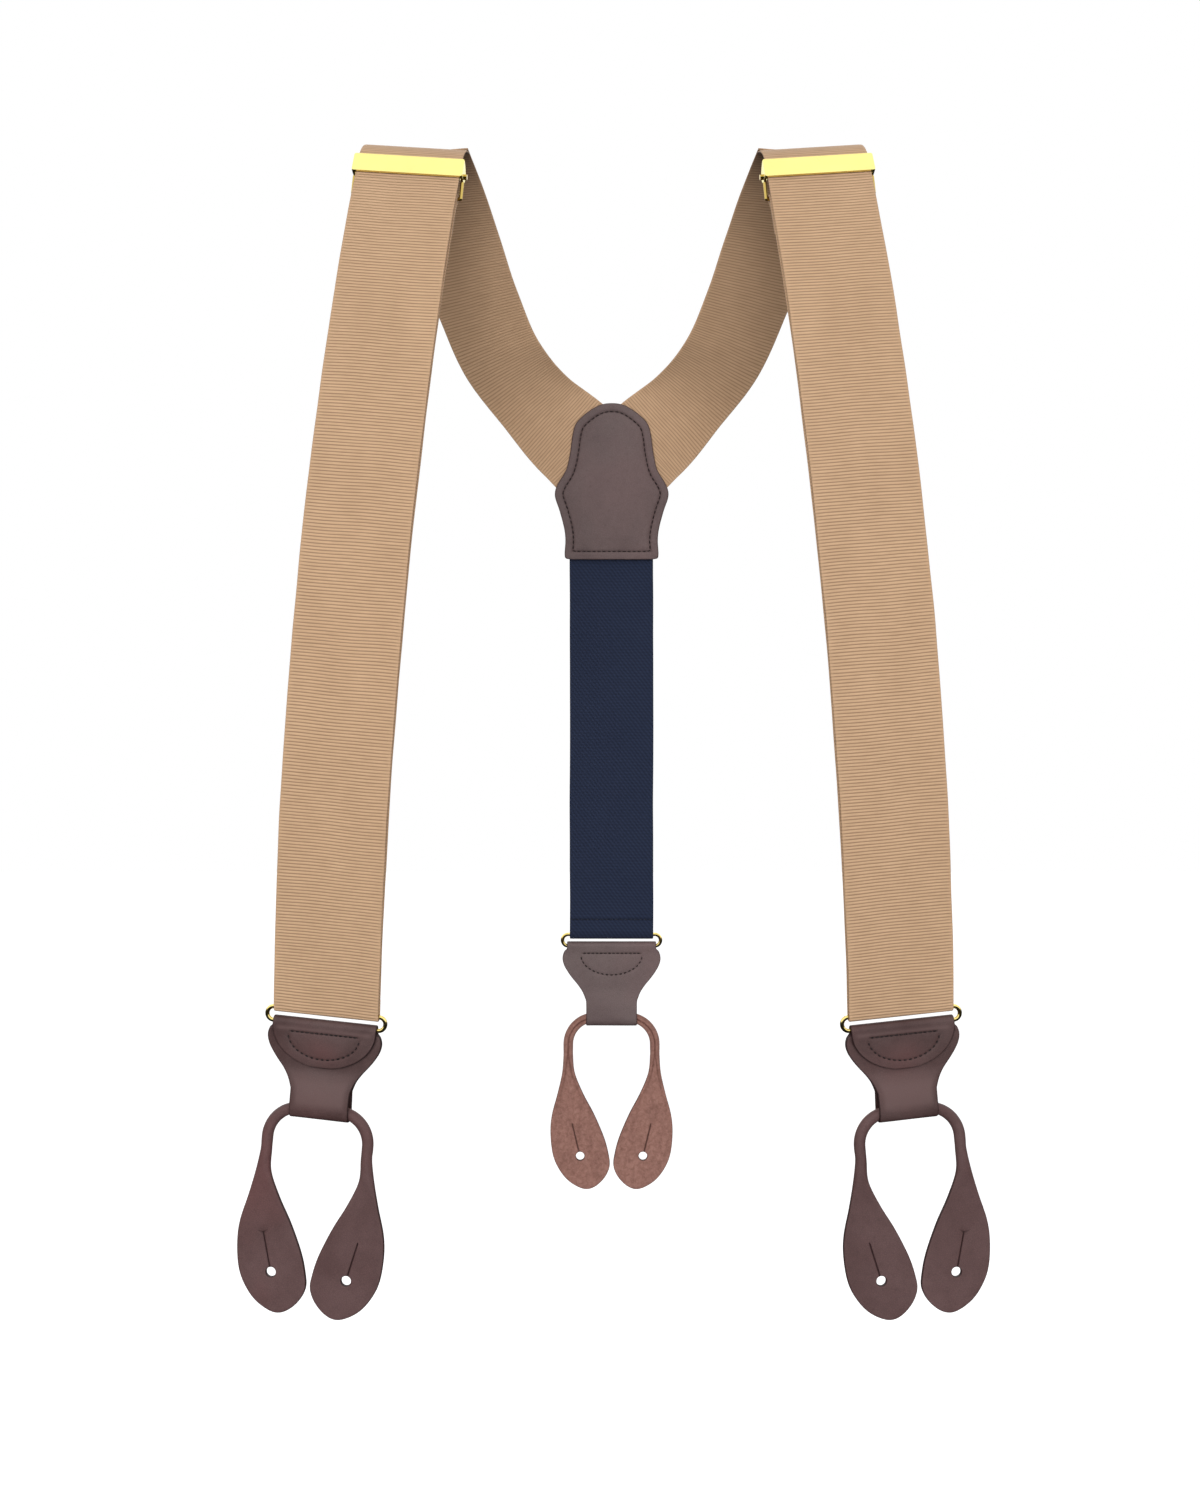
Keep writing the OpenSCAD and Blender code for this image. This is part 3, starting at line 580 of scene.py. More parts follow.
back_P = back_P - (1 - tw) * ((back_P - PATCH_O) @ PATCH_N)[:, None] * PATCH_N
back_W = back_W / np.linalg.norm(back_W, axis=1, keepdims=True)
back_W = back_W - (1 - tw) * (back_W @ PATCH_N)[:, None] * PATCH_N
back_P = np.concatenate([back_P, back_P[-1] + into * np.linspace(0.8, IN_LEN, 42)[:, None]])
back_W = np.concatenate([back_W, np.repeat(back_W[-1:], 42, 0)])
shoulder_P = np.concatenate([head_P, back_P[1:]])
CREST_LEN = length_of(head_P)[-1]
shoulder_W = np.concatenate([np.repeat(wf[None], len(head_P), 0), back_W[1:]])

# the return layer behind, with its loop over the bail bar and its sewn tail
a = np.radians(np.linspace(180 - BAIL_A, -BAIL_A, 41))
bail_turn = BAR_C + (WRAP + RT / 2) * np.stack([np.cos(a), np.sin(a)], -1)
tail = np.array([arc(RET_IN - 2 * WRAP - RT / 2, BAIL_A), arc(RET_IN - 0.49, BAIL_A - 0.55), arc(RET_IN - 0.45, BAIL_A - 1.75)])
return_yz = np.concatenate([arc(mid_ret, np.linspace(HEM_A + 0.74, BAIL_A, 161)), bail_turn[1:], curve(tail, 8)[1:]])
return_P = strap_line(return_yz)
return_W = np.repeat(wf[None], len(return_P), 0)

PITCH = 1.15
for s, mir in (("left", False), ("right", True)):
    seed = 3 if mir else 1
    mx = np.array([-1.0 if mir else 1.0, 1, 1]) * MM

    def at(r, ang):
        y, z = arc(r, ang)
        return tuple(front([0, y, z]) * mx)

    o, n = web(f"{s}_front_web", front_P, front_W, RW, RT, PITCH, 0.13, [M_RIBBON], mir, seed)
    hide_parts(f"{s}_hem_turn")
    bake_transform(o)

    # under: painted shade on the inner face, darkest at the crest and fading out over 60 mm down the back
    o, n = web(f"{s}_shoulder_web", shoulder_P, shoulder_W, RW, RT, PITCH, 0.06, [M_RIBBON], mir, seed + 20, steps=((0.0, 0.2), (0.22, 0.84), (0.5, 1.0), (0.78, 0.84)), cut=-0.35, under=lambda S: np.interp(S - CREST_LEN, [0, 6, 13, 20, 32, 60], [1.0, 0.78, 0.5, 0.26, 0.15, 0.08]))
    n = n - IN_LEN + 18.9
    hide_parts(f"{s}_ribbon")
    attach(o, "harness")

    o, n = web(f"{s}_return_web", return_P, return_W, RW, RT, PITCH, 0.13, [M_RIBBON], mir, seed + 40)
    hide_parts(f"{s}_return_ribbon")
    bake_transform(o)

# the elastic back web: centreline in Y and Z
BACK_BAR = np.array([85.0, -297.6])
EY = BACK_BAR[0] - WRAP - ET / 2


def patch_yz(y, z):
    p = patch([0, y, z])
    return [p[1], p[2]]


def half_turn(c, r, a0, a1, n):
    a = np.radians(np.linspace(a0, a1, n))
    return np.stack([c[0] + r * np.cos(a), c[1] + r * np.sin(a)], -1)


top = curve([patch_yz(1.2, 18), patch_yz(1.2, 10), patch_yz(1.2, 3), [EY + 0.15, -149.4], [EY, -158], [EY, -200], [EY, -270], [EY, BACK_BAR[1] + 0.01]], 12)
fold = half_turn(BACK_BAR, WRAP + ET / 2, 180, 360, 25)
rise = curve([[BACK_BAR[0] + WRAP + ET / 2, BACK_BAR[1]], [BACK_BAR[0] + WRAP + ET / 2 - 0.1, -296], [EY + ET + 0.06, -293], [EY + ET + 0.06, -288.6]], 8)
el = np.concatenate([top, fold[1:], rise[1:]])
el_P = np.stack([np.zeros(len(el)), el[:, 0], el[:, 1]], -1)
el_W = np.repeat(np.array([[1.0, 0, 0]]), len(el), 0)
el_L = length_of(el_P)
hem_s = float(np.interp(291.1, -top[:, 1], el_L[: len(top)]))
el_fold = float(el_L[len(top) - 1])
o, n = web(
    "back_elastic_web", el_P, el_W, EW, ET, 1.25, 0.05, [M_ELASTIC], False, 9, 14,
    steps=((0.0, 0.55), (0.5, 1.0)), wavy=0.15,
    sink=lambda S, c: 0.20 * np.exp(-(((S - hem_s) / 0.4) ** 2)) * (np.abs(c) < 17.3),
    rows=hem_s + np.arange(-1.05, 1.06, 0.15),
    # dark: painted shade along the sunk hem line and towards the fold round the bar
    dark=lambda S, c: 0.85 * np.exp(-(((S - hem_s) / 0.45) ** 2)) + 0.35 * smooth(el_fold - S, 2.2, 0.0) * (S < el_fold + 3),
)
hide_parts("elastic_web", "elastic_hem_turn")
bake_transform(o)


# ------------------------------------------------------------------ stitches
def stitches(name, runs, r, mat, mirror=False, sides=8):
    """runs: list of (A, B, N) with N the outward normal at the stitch; each is a thread that dips in at both ends."""
    V, F = [], []
    prof = [(-0.02, 0.15, -0.9), (0.05, 0.75, -0.42), (0.22, 1.0, 0.0), (0.5, 1.0, 0.12), (0.78, 1.0, 0.0), (0.95, 0.75, -0.42), (1.02, 0.15, -0.9)]
    for A, B, N in runs:
        A, B, N = map(lambda v: np.asarray(v, float), (A, B, N))
        t = B - A
        length = np.linalg.norm(t)
        t = t / length
        N = N - (N @ t) * t
        N = N / np.linalg.norm(N)
        q = np.cross(t, N)
        base = len(V)
        for f, rr, lift in prof:
            c = A + t * length * f + N * lift * r
            for k in range(sides):
                ang = 2 * math.pi * k / sides
                V.append(c + r * rr * (math.cos(ang) * N + math.sin(ang) * q))
        rows = len(prof)
        for i in range(rows - 1):
            for k in range(sides):
                F.append([base + i * sides + k, base + i * sides + (k + 1) % sides, base + (i + 1) * sides + (k + 1) % sides, base + (i + 1) * sides + k])
        F.append([base + k for k in range(sides)][::-1])
        F.append([base + (rows - 1) * sides + k for k in range(sides)])
    return build(name, V, F, mirror, [mat])


def along(P, pitch, share, start=0.0, end=None, closed=False):
    """Pairs of points for even stitches along a polyline."""
    P = np.asarray(P, float)
    if closed:
        P = np.concatenate([P, P[:1]])
    L = length_of(P)[-1]
    n = max(1, int(round(L / pitch)))
    p = L / n
    out = []
    for i in range(n):
        s0 = p * (i + (1 - share) / 2)
        out.append((resample(P, np.array([s0]))[0], resample(P, np.array([s0 + p * share]))[0]))
    return out


# ------------------------------------------------------------------ leather tabs
TAB_HALF = [[2.2, 18.7], [-0.8, 18.7], [-2.5, 20], [-5, 20.6], [-7.8, 20], [-10.6, 18.5], [-13.4, 16.5], [-16.2, 14.2], [-19, 12.3], [-21.8, 11.1], [-24, 10.65], [-34, 10.65]]
TAB_BOTTOM, ROLL_Z = -33.5, -30.1
half_line = curve(TAB_HALF, 12)
TOPZ = WRAP + LT
FLAP_C, FLAP_W, FLAP_D = TOPZ - 3.0, 18.7, 14.0


def sway(z, h):
    return np.where(np.asarray(z) < 0, -np.asarray(z) * math.tan(h), 0.0)


def half_width(z):
    order = np.argsort(half_line[:, 0])
    return np.interp(z, half_line[order, 0], half_line[order, 1])


def stitch_path(n=80):
    a = np.radians(np.linspace(184, 356, n))
    ell = np.stack([12.9 * np.cos(a), TOPZ - 5.5 + 8.5 * np.sin(a)], -1)
    row = np.array([[-12.2, TOPZ - 4.9], [12.2, TOPZ - 4.9]])
    return row, ell


def dist_to(P, line):
    """Distance of points P (...,2) to a polyline."""
    flat = P.reshape(-1, 2)
    best = np.full(len(flat), 1e9)
    for a, b in zip(line[:-1], line[1:]):
        d = b - a
        t = np.clip(((flat - a) @ d) / (d @ d), 0, 1)
        best = np.minimum(best, np.linalg.norm(flat - a - t[:, None] * d, axis=1))
    return best.reshape(P.shape[:-1])


def tab_mesh(name, to_row, h, mirror=False):
    """The folded leather strip. Local: x across, y (flap side is -), z up from the ring's lower bar."""
    flap = [[-1.36, -15.03], [-1.40, -12], [-1.42, -8], [-1.42, -4], [-1.42, -0.02]]
    down = [[1.42, -0.02], [1.18, -1.6], [0.95, -3.2], [0.90, -8], [0.90, -15], [1.15, -19], [2.45, -25.5], [2.85, ROLL_Z]]
    up = [[-2.85, ROLL_Z], [-2.45, -25.5], [-1.10, -19], [-0.24, -15], [-0.22, -8], [-0.22, -1.5]]
    A = curve(flap, 40)
    B = half_turn((0, 0), 1.42, 180, 0, 15)
    C = curve(down, 40)
    D = half_turn((0, ROLL_Z), 2.85, 360, 180, 21)
    E = curve(up, 30)
    path = np.concatenate([A, B[1:], C[1:], D[1:], E[1:]])
    L = length_of(path)
    LA, LB, LC, LD = (L[len(A) - 1], L[len(A) + len(B) - 2], L[len(A) + len(B) + len(C) - 3], L[len(A) + len(B) + len(C) + len(D) - 4])
    s = np.unique(
        np.concatenate(
            [
                np.array([0, 0.06, 0.16, 0.32]), np.arange(0.55, LA, 0.36), np.linspace(LA, LB, 13), np.arange(LB + 0.3, LB + 15, 0.45),
                np.linspace(LB + 15, LC, 26), np.linspace(LC, LD, 17), np.linspace(LD, L[-1], 40),
            ]
        )
    )
    p = resample(path, s)
    tan = resample(path, np.clip(s + 0.15, 0, L[-1])) - resample(path, np.clip(s - 0.15, 0, L[-1]))
    tan /= np.linalg.norm(tan, axis=1, keepdims=True)
    # the grain side is outside the folds
    out = np.stack([-tan[:, 1], tan[:, 0]], -1)
    z = p[:, 1]
    on_flap = s <= LA + 1e-6
    w = np.where(on_flap & (z < FLAP_C), FLAP_W * np.sqrt(np.clip(1 - ((z - FLAP_C) / FLAP_D) ** 2, 0.0, 1)), half_width(z))
    w = np.where(on_flap & (z >= FLAP_C), FLAP_W, w)
    over = (s > LA) & (s < LB + 1.2)
    w = np.where(over, 18.7, w)
    edge_d = np.array([0.0, 0.07, 0.2, 0.42, 0.8])
    mid = np.linspace(-1, 1, 71)
    K = len(edge_d) * 2 + len(mid) - 2
    X = np.zeros((len(s), K))
    for i, wi in enumerate(w):
        wi = max(wi, 0.02)
        e = np.minimum(edge_d, edge_d / edge_d[-1] * wi * 0.2)
        core = mid[1:-1] * (wi - e[-1] * 1.6)
        X[i] = np.concatenate([-wi + e, core, (wi - e)[::-1]])
    E_ = w[:, None] - np.abs(X)
    tipd = np.where(on_flap, s, 99.0)[:, None]
    E2 = np.minimum(E_, np.repeat(tipd, K, 1))
    E2 = np.minimum(E2, np.repeat((L[-1] - s)[:, None], K, 1))
    th = LT / 2 * np.interp(E2, [0, 0.07, 0.2, 0.42, 0.8], [0.56, 0.78, 0.92, 0.98, 1.0])
    Z = np.repeat(z[:, None], K, 1)
    P2 = np.stack([X, Z], -1)
    row, ell = stitch_path()
    dr, de = dist_to(P2, row), dist_to(P2, ell)
    ds = np.minimum(dr, de)
    face = np.repeat((on_flap | ((s > LB) & (s < LB + 15)))[:, None], K, 1)
    sink = np.where(face, 0.20 * np.exp(-((ds / 0.34) ** 2)) + 0.10 * np.exp(-((ds / 1.0) ** 2)), 0)
    # the fold over the ring swells above the straight seam, and the field inside the curved seam is slightly full
    inside = (((X / 12.9) ** 2 + ((Z - (TOPZ - 5.5)) / 8.5) ** 2) < 1) & (Z < TOPZ - 4.9)
    swell = np.where(on_flap[:, None], 0.16 * np.exp(-(((Z + 0.9) / 1.3) ** 2)), 0)
    swell = swell + np.where(on_flap[:, None] & inside, 0.13 * smooth(ds, 0.3, 3.0), 0)
    ripple = 0.035 * np.sin(X / 5.1 + 1.3 + Z / 7) * np.sin(Z / 4.4 + 0.4)
    th_out = th - sink + swell + np.where(on_flap[:, None] | (s > LB + 15)[:, None], ripple, 0) * smooth(E2, 0.3, 1.5)
    y0 = p[:, 0][:, None]
    z0 = Z
    outer = np.stack([X, y0 + out[:, 0][:, None] * th_out, z0 + out[:, 1][:, None] * th_out], -1)
    inner = np.stack([X, y0 - out[:, 0][:, None] * th, z0 - out[:, 1][:, None] * th], -1)
    ring = np.concatenate([outer, inner[:, ::-1]], 1)
    ring[..., 0] += sway(ring[..., 2], h)
    V = to_row(ring.reshape(-1, 3))
    R = 2 * K
    F = tube_faces(len(s), R) + strip_cap(0, K, R) + strip_cap(len(s) - 1, K, R)
    rows = len(s)
    edge_out = np.clip(1.0 - E2 / 0.42, 0, 1) * 0.95 + (0.50 * np.exp(-((dr / 0.34) ** 2)) + 0.20 * np.exp(-((de / 0.36) ** 2))) * face
    # painted shade: a dark line on the layer under the flap, along the flap's cut edge, where the flap shades it
    a = np.radians(np.linspace(180, 360, 90))
    cut_line = np.stack([FLAP_W * np.cos(a), FLAP_C + FLAP_D * np.sin(a)], -1)
    under = (s > LD)[:, None]
    edge_out = edge_out + under * 0.75 * np.exp(-((dist_to(P2, cut_line) / 0.34) ** 2))
    worn = under * smooth(-Z, 14.5, 22) * smooth(30.5 + Z, 0, 3.5) * 0.62 + on_flap[:, None] * 0.55 * np.exp(-(((Z + 1.9) / 0.8) ** 2))
    worn = worn * smooth(E_, 0.4, 3.0)
    blush = on_flap[:, None] * 0.42 * np.exp(-((X / 6.5) ** 2 + ((Z + 9.5) / 4.0) ** 2))
    none = np.zeros_like(X)
    edge = np.concatenate([np.clip(edge_out, 0, 1), np.maximum(np.clip(1 - E2 / 0.2, 0, 1)[:, ::-1] * 0.9, 0.6)], 1).ravel()
    n_side = (rows - 1) * R
    idx = np.zeros(len(F), int)
    cols = np.tile(np.arange(R), rows - 1)
    idx[:n_side] = np.where((cols >= K) & (cols < R - 1), 1, 0)
    return build(name, V, F, mirror, [M_TAB if h else M_PATCH], idx * 0, {"edge": edge, "worn": np.concatenate([worn, none], 1).ravel(), "blush": np.concatenate([blush, none], 1).ravel()}, sharp=70)


def tab_threads(name, to_row, h, mirror):
    row, ell = stitch_path(160)
    runs = []
    for y, n in ((-TOPZ + 0.10, -1.0), (LT + 0.35 - 0.13, 1.0)):
        for line, pitch, share in ((row, 1.75, 0.74), (ell, 1.9, 0.56)):
            for a, b in along(line, pitch, share):
                A = np.array([a[0] + sway(a[1], h), y, a[1]])
                B = np.array([b[0] + sway(b[1], h), y, b[1]])
                q = to_row(np.array([A, B, A + [0, n, 0]]))
                runs.append((q[0], q[1], q[2] - q[0]))
    return stitches(name, runs, 0.25, M_THREAD, mirror)


def front_tab_row(P):
    P = np.asarray(P, float)
    return front(np.stack([P[..., 0], P[..., 1] + TURN_C[0], P[..., 2] + TURN_C[1] - RING_GAP], -1))


def back_tab_row(P):
    P = np.asarray(P, float)
    return np.stack([P[..., 0], BACK_BAR[0] - P[..., 1], P[..., 2] + BACK_BAR[1] - RING_GAP], -1)


for s, to_row, h, mir in (("left", front_tab_row, HANG, False), ("right", front_tab_row, HANG, True), ("back", back_tab_row, 0.0, False)):
    o = tab_mesh(f"{s}_tab_leather", to_row, h, mir)
    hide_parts(f"{s}_tab")
    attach(o, f"{s}_tab_body")
    o = tab_threads(f"{s}_tab_threads", to_row, h, mir)
    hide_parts(f"{s}_tab_stitching")
    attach(o, f"{s}_tab_body")


# ------------------------------------------------------------------ plates cut from leather, by their outline
def in_polygon(P, poly):
    x, y = P[:, 0], P[:, 1]
    inside = np.zeros(len(P), bool)
    n = len(poly)
    for i in range(n):
        x1, y1 = poly[i]
        x2, y2 = poly[(i + 1) % n]
        if y1 == y2:
            continue
        hit = (y1 > y) != (y2 > y)
        inside ^= hit & (x < (x2 - x1) * (y - y1) / (y2 - y1) + x1)
    return inside


def even(poly, step):
    poly = np.concatenate([poly, poly[:1]])
    L = length_of(poly)[-1]
    n = int(round(L / step))
    return resample(poly, np.arange(n) * L / n)


def plate(outline, holes, rings, hole_rings, grid, seed=4):
    """Points, triangles and distances of a flat region with holes, fine near its edges."""
    loops = [outline] + list(holes)

    def distance(P):
        best = np.full(len(P), 1e9)
        for k, q in enumerate(loops):
            best = np.minimum(best, dist_to(P, np.concatenate([q, q[:1]])))
        return best

    def inside(P):
        m = in_polygon(P, outline)
        for q in holes:
            m &= ~in_polygon(P, q)
        return m

    pts, cuts, at = [], [], 0
    for q in loops:
        n = len(q)
        pts.append(q)
        cuts += [(at + i, at + (i + 1) % n) for i in range(n)]
        at += n
    extra = []
    for k, q in enumerate(loops):
        t = np.roll(q, -1, 0) - np.roll(q, 1, 0)
        t /= np.linalg.norm(t, axis=1, keepdims=True)
        nrm = np.stack([-t[:, 1], t[:, 0]], -1)
        test = q + nrm * 0.02
        ok = in_polygon(test, outline) if k == 0 else ~in_polygon(test, q)
        nrm = np.where(ok[:, None], nrm, -nrm)
        for j, d in enumerate(rings if k == 0 else hole_rings):
            c = q + nrm * d
            if j % 2:
                c = (q + np.roll(q, -1, 0)) / 2 + (nrm + np.roll(nrm, -1, 0)) / 2 * d
            extra.append(c[inside(c) & (distance(c) > d * 0.93)])
    extra = np.concatenate(extra)
    lo, hi = outline.min(0), outline.max(0)
    gx = np.arange(lo[0], hi[0], grid)
    gy = np.arange(lo[1], hi[1], grid * 0.866)
    G = np.array([[x + (grid / 2 if j % 2 else 0), y] for j, y in enumerate(gy) for x in gx])
    G = G + np.random.default_rng(seed).normal(0, grid * 0.04, G.shape)
    G = G[inside(G)]
    G = G[distance(G) > max(rings) + grid * 0.45]
    P = np.concatenate(pts + [extra, G])
    vs, _, fs, orig, _, _ = delaunay_2d_cdt([Vector(p) for p in P], cuts, [], 0, 1e-5)
    Q = np.array([[v.x, v.y] for v in vs])
    T = np.array([f for f in fs if len(f) == 3])
    T = T[inside(Q[T].mean(1))]
    used = np.unique(T)
    remap = -np.ones(len(Q), int)
    remap[used] = np.arange(len(used))
    Q, T = Q[used], remap[T]
    return Q, T, distance(Q), distance


def rim(T):
    """Edges used by one triangle, as ordered pairs."""
    e = np.concatenate([T[:, [0, 1]], T[:, [1, 2]], T[:, [2, 0]]])
    key = np.sort(e, 1)
    _, inv, cnt = np.unique(key, axis=0, return_inverse=True, return_counts=True)
    return e[cnt[inv.ravel()] == 1]


# ------------------------------------------------------------------ rolled loops with two ears
EAR = np.array([[-16, -13.6], [-20.2, -14.5], [-20.8, -20], [-22.7, -28.5], [-25.1, -37.6], [-25.7, -45], [-24.8, -53.7], [-22.3, -60], [-17.9, -65.4], [-11.8, -68.6], [-7.2, -67.8], [-3, -64], [-0.9, -59.5], [-1, -55.5], [-2.9, -47.8], [-7.2, -37.6], [-12, -28.5], [-15.4, -20]])
HOLE, SLIT_TOP = np.array([-13.2, -54.8]), np.array([-16.6, -41.0])
BEND, FLAT, RZ = 11.2, 7.0, ROLL_Z - TAB_BOTTOM


def loop_mesh(name, to_row, h, e, mirror, mats):
    """Local: x across, z up from the tab's lower edge; the smooth side of the leather is -y."""
    cz = RZ - BEND
    sx = lambda z: sway(z + 13, h)

    def ear(k):
        P = EAR[2:]
        E = np.stack([-k * P[:, 0] * e[0] + sx(P[:, 1]), P[:, 1] * e[1]], -1)
        o_in, o_out = FLAT + BEND - ROLL_R, FLAT + BEND + ROLL_R
        pts = [[k * o_out, cz - 1.5], [k * o_out, cz - 5.0]] + E.tolist() + [[k * o_in, cz - 5.0], [k * o_in, cz - 1.5]]
        return curve(pts, 8)

    def bend_arc(r, k, a0, a1, n):
        a = np.radians(np.linspace(a0, a1, n))
        return np.stack([k * (FLAT + r * np.cos(a)), cz + r * np.sin(a)], -1)

    R = ear(1)
    Lf = ear(-1)[::-1]
    outer_r = bend_arc(BEND + ROLL_R, 1, 90, 0, 24)
    inner_r = bend_arc(BEND - ROLL_R, 1, 0, 90, 20)
    inner_l = bend_arc(BEND - ROLL_R, -1, 90, 0, 20)
    outer_l = bend_arc(BEND + ROLL_R, -1, 0, 90, 24)
    out = np.concatenate([outer_r, R, inner_r, inner_l, Lf, outer_l])
    out = even(out, 0.62)
    low = smooth(-out[:, 1], 36, 46)[:, None]
    for _ in range(60):
        for f in (0.5, -0.51):
            out = out + f * low * ((np.roll(out, 1, 0) + np.roll(out, -1, 0)) / 2 - out)
    holes = []
    for k in (-1, 1):
        c = np.array([-k * HOLE[0] * e[0] + sx(HOLE[1]), HOLE[1] * e[1]])
        d = np.array([-k * SLIT_TOP[0] * e[0] + sx(SLIT_TOP[1]), SLIT_TOP[1] * e[1]])
        u = (d - c) / np.linalg.norm(d - c)
        v = np.array([-u[1], u[0]])
        g = math.asin(SLIT / 2 / HOLE_R)
        ring = [c + HOLE_R * (math.cos(a) * u + math.sin(a) * v) for a in np.linspace(g, 2 * math.pi - g, 30)]
        far = np.linalg.norm(d - c)
        st = np.arange(HOLE_R + 0.55, far - 0.3, 0.6)
        left = [c + u * t - v * SLIT / 2 for t in st]
        right = [c + u * t + v * SLIT / 2 for t in st[::-1]]
        holes.append(np.array(ring + left + [c + u * far] + right))
    rings = [0.03, 0.11, 0.25, 0.45, 0.72, 1.05, 1.42, 1.80, 2.02]
    Q, T, D, _ = plate(out, holes, rings, [0.05, 0.16, 0.34, 0.65], 1.15)
    z, x = Q[:, 1], Q[:, 0]
    outer_d = dist_to(Q, np.concatenate([out, out[:1]]))
    hole_d = np.minimum(*[dist_to(Q, np.concatenate([q, q[:1]])) for q in holes])
    flatness = smooth(-z, 13.5, 30.0)
    dd = np.minimum(outer_d, ROLL_R)
    round_h = np.sqrt(np.clip(ROLL_R**2 - (ROLL_R - dd) ** 2, 0, None))
    t = EAR_T / 2
    flat_h = t * np.interp(outer_d, [0, 0.05, 0.16, 0.34, 0.7], [0.58, 0.78, 0.92, 0.98, 1.0])
    H = round_h * (1 - flatness) + flat_h * flatness
    H = H * np.where(z < -30, np.interp(hole_d, [0, 0.05, 0.16, 0.34, 0.7], [0.66, 0.82, 0.93, 0.98, 1.0]), 1)
    # the seam of the roll, which parts into two lines that follow the edges down the neck
    dg = np.interp(-z, [0, 9, 13, 18, 30, 60], [ROLL_R, ROLL_R, 1.75, 1.30, 1.2, 1.2])
    seam_amp = np.interp(-z, [0, 12, 20, 30, 42], [0.55, 0.50, 0.34, 0.16, 0.0])
    seam = seam_amp * np.exp(-(((outer_d - dg) / 0.26) ** 2)) * (outer_d < 3.0)
    swell = 0.10 * np.sin(x / 6.2 + 0.7) * np.sin(z / 8.4) * flatness * smooth(outer_d, 0.5, 4)
    yf, yb = -H + swell * 0.6, H + swell * 0.6 - seam
    n = len(Q)
    V3 = np.concatenate([np.stack([x, yf, z], -1), np.stack([x, yb, z], -1)])
    E = rim(T)
    walls = np.stack([E[:, 0], E[:, 1], E[:, 1] + n, E[:, 0] + n], -1)
    F = T.tolist() + (T[:, ::-1] + n).tolist() + walls.tolist()
    idx = np.array([0] * len(T) + [1] * len(T) + [0] * len(walls))
    cut = np.maximum(np.clip(1 - D / 0.22, 0, 1), np.clip(1.2 - hole_d / 0.30, 0, 1) * (z > HOLE[1] * e[1] + 1.9)) * flatness
    pressed = 0.55 * np.exp(-(((outer_d - dg) / 0.30) ** 2)) * (seam_amp > 0.03) * (outer_d < 3.0) * np.clip(seam_amp * 2.2, 0, 1)
    edge_f = cut * 0.95
    edge_b = np.clip(cut * 0.95 + pressed, 0, 1)
    V = to_row(V3)
    return build(name, V, F, mirror, mats, idx, {"edge": np.concatenate([edge_f, edge_b])}, sharp=58, weld=0.004)


def front_loop_row(P):
    P = np.asarray(P, float)
    return front(np.stack([P[..., 0] + sway(ROLL_Z, HANG), P[..., 1] + TURN_C[0], P[..., 2] + TURN_C[1] - RING_GAP + TAB_BOTTOM], -1))


def back_loop_row(P):
    P = np.asarray(P, float)
    return np.stack([P[..., 0], BACK_BAR[0] - P[..., 1], P[..., 2] + BACK_BAR[1] - RING_GAP + TAB_BOTTOM], -1)


for s, to_row, h, e, mir in (("left", front_loop_row, HANG, EAR_FRONT, False), ("right", front_loop_row, HANG, EAR_FRONT, True), ("back", back_loop_row, 0.0, (1.0, 1.0), False)):
    o = loop_mesh(f"{s}_loop_leather", to_row, h, e, mir, [M_EAR, M_SUEDE])
    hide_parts(f"{s}_button_loop")
    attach(o, f"{s}_loop_body")

# ------------------------------------------------------------------ the back patch, two leathers sewn together
PATCH_HALF = [[0, 0], [11, 0], [18.2, 0.2], [19.6, 1.6], [19.3, 8], [19.8, 13], [21.6, 20], [23.6, 26.5], [22.4, 31.2], [18.9, 37], [17.2, 44], [16.2, 51], [14.6, 56], [10.2, 60.2], [5, 63.2]]
patch_line = PATCH_HALF + [[0, 64]] + [[-p[0], p[1]] for p in reversed(PATCH_HALF[1:])]
patch_curve = even(curve(patch_line, 10, closed=True), 0.9)
INSET = 3.4


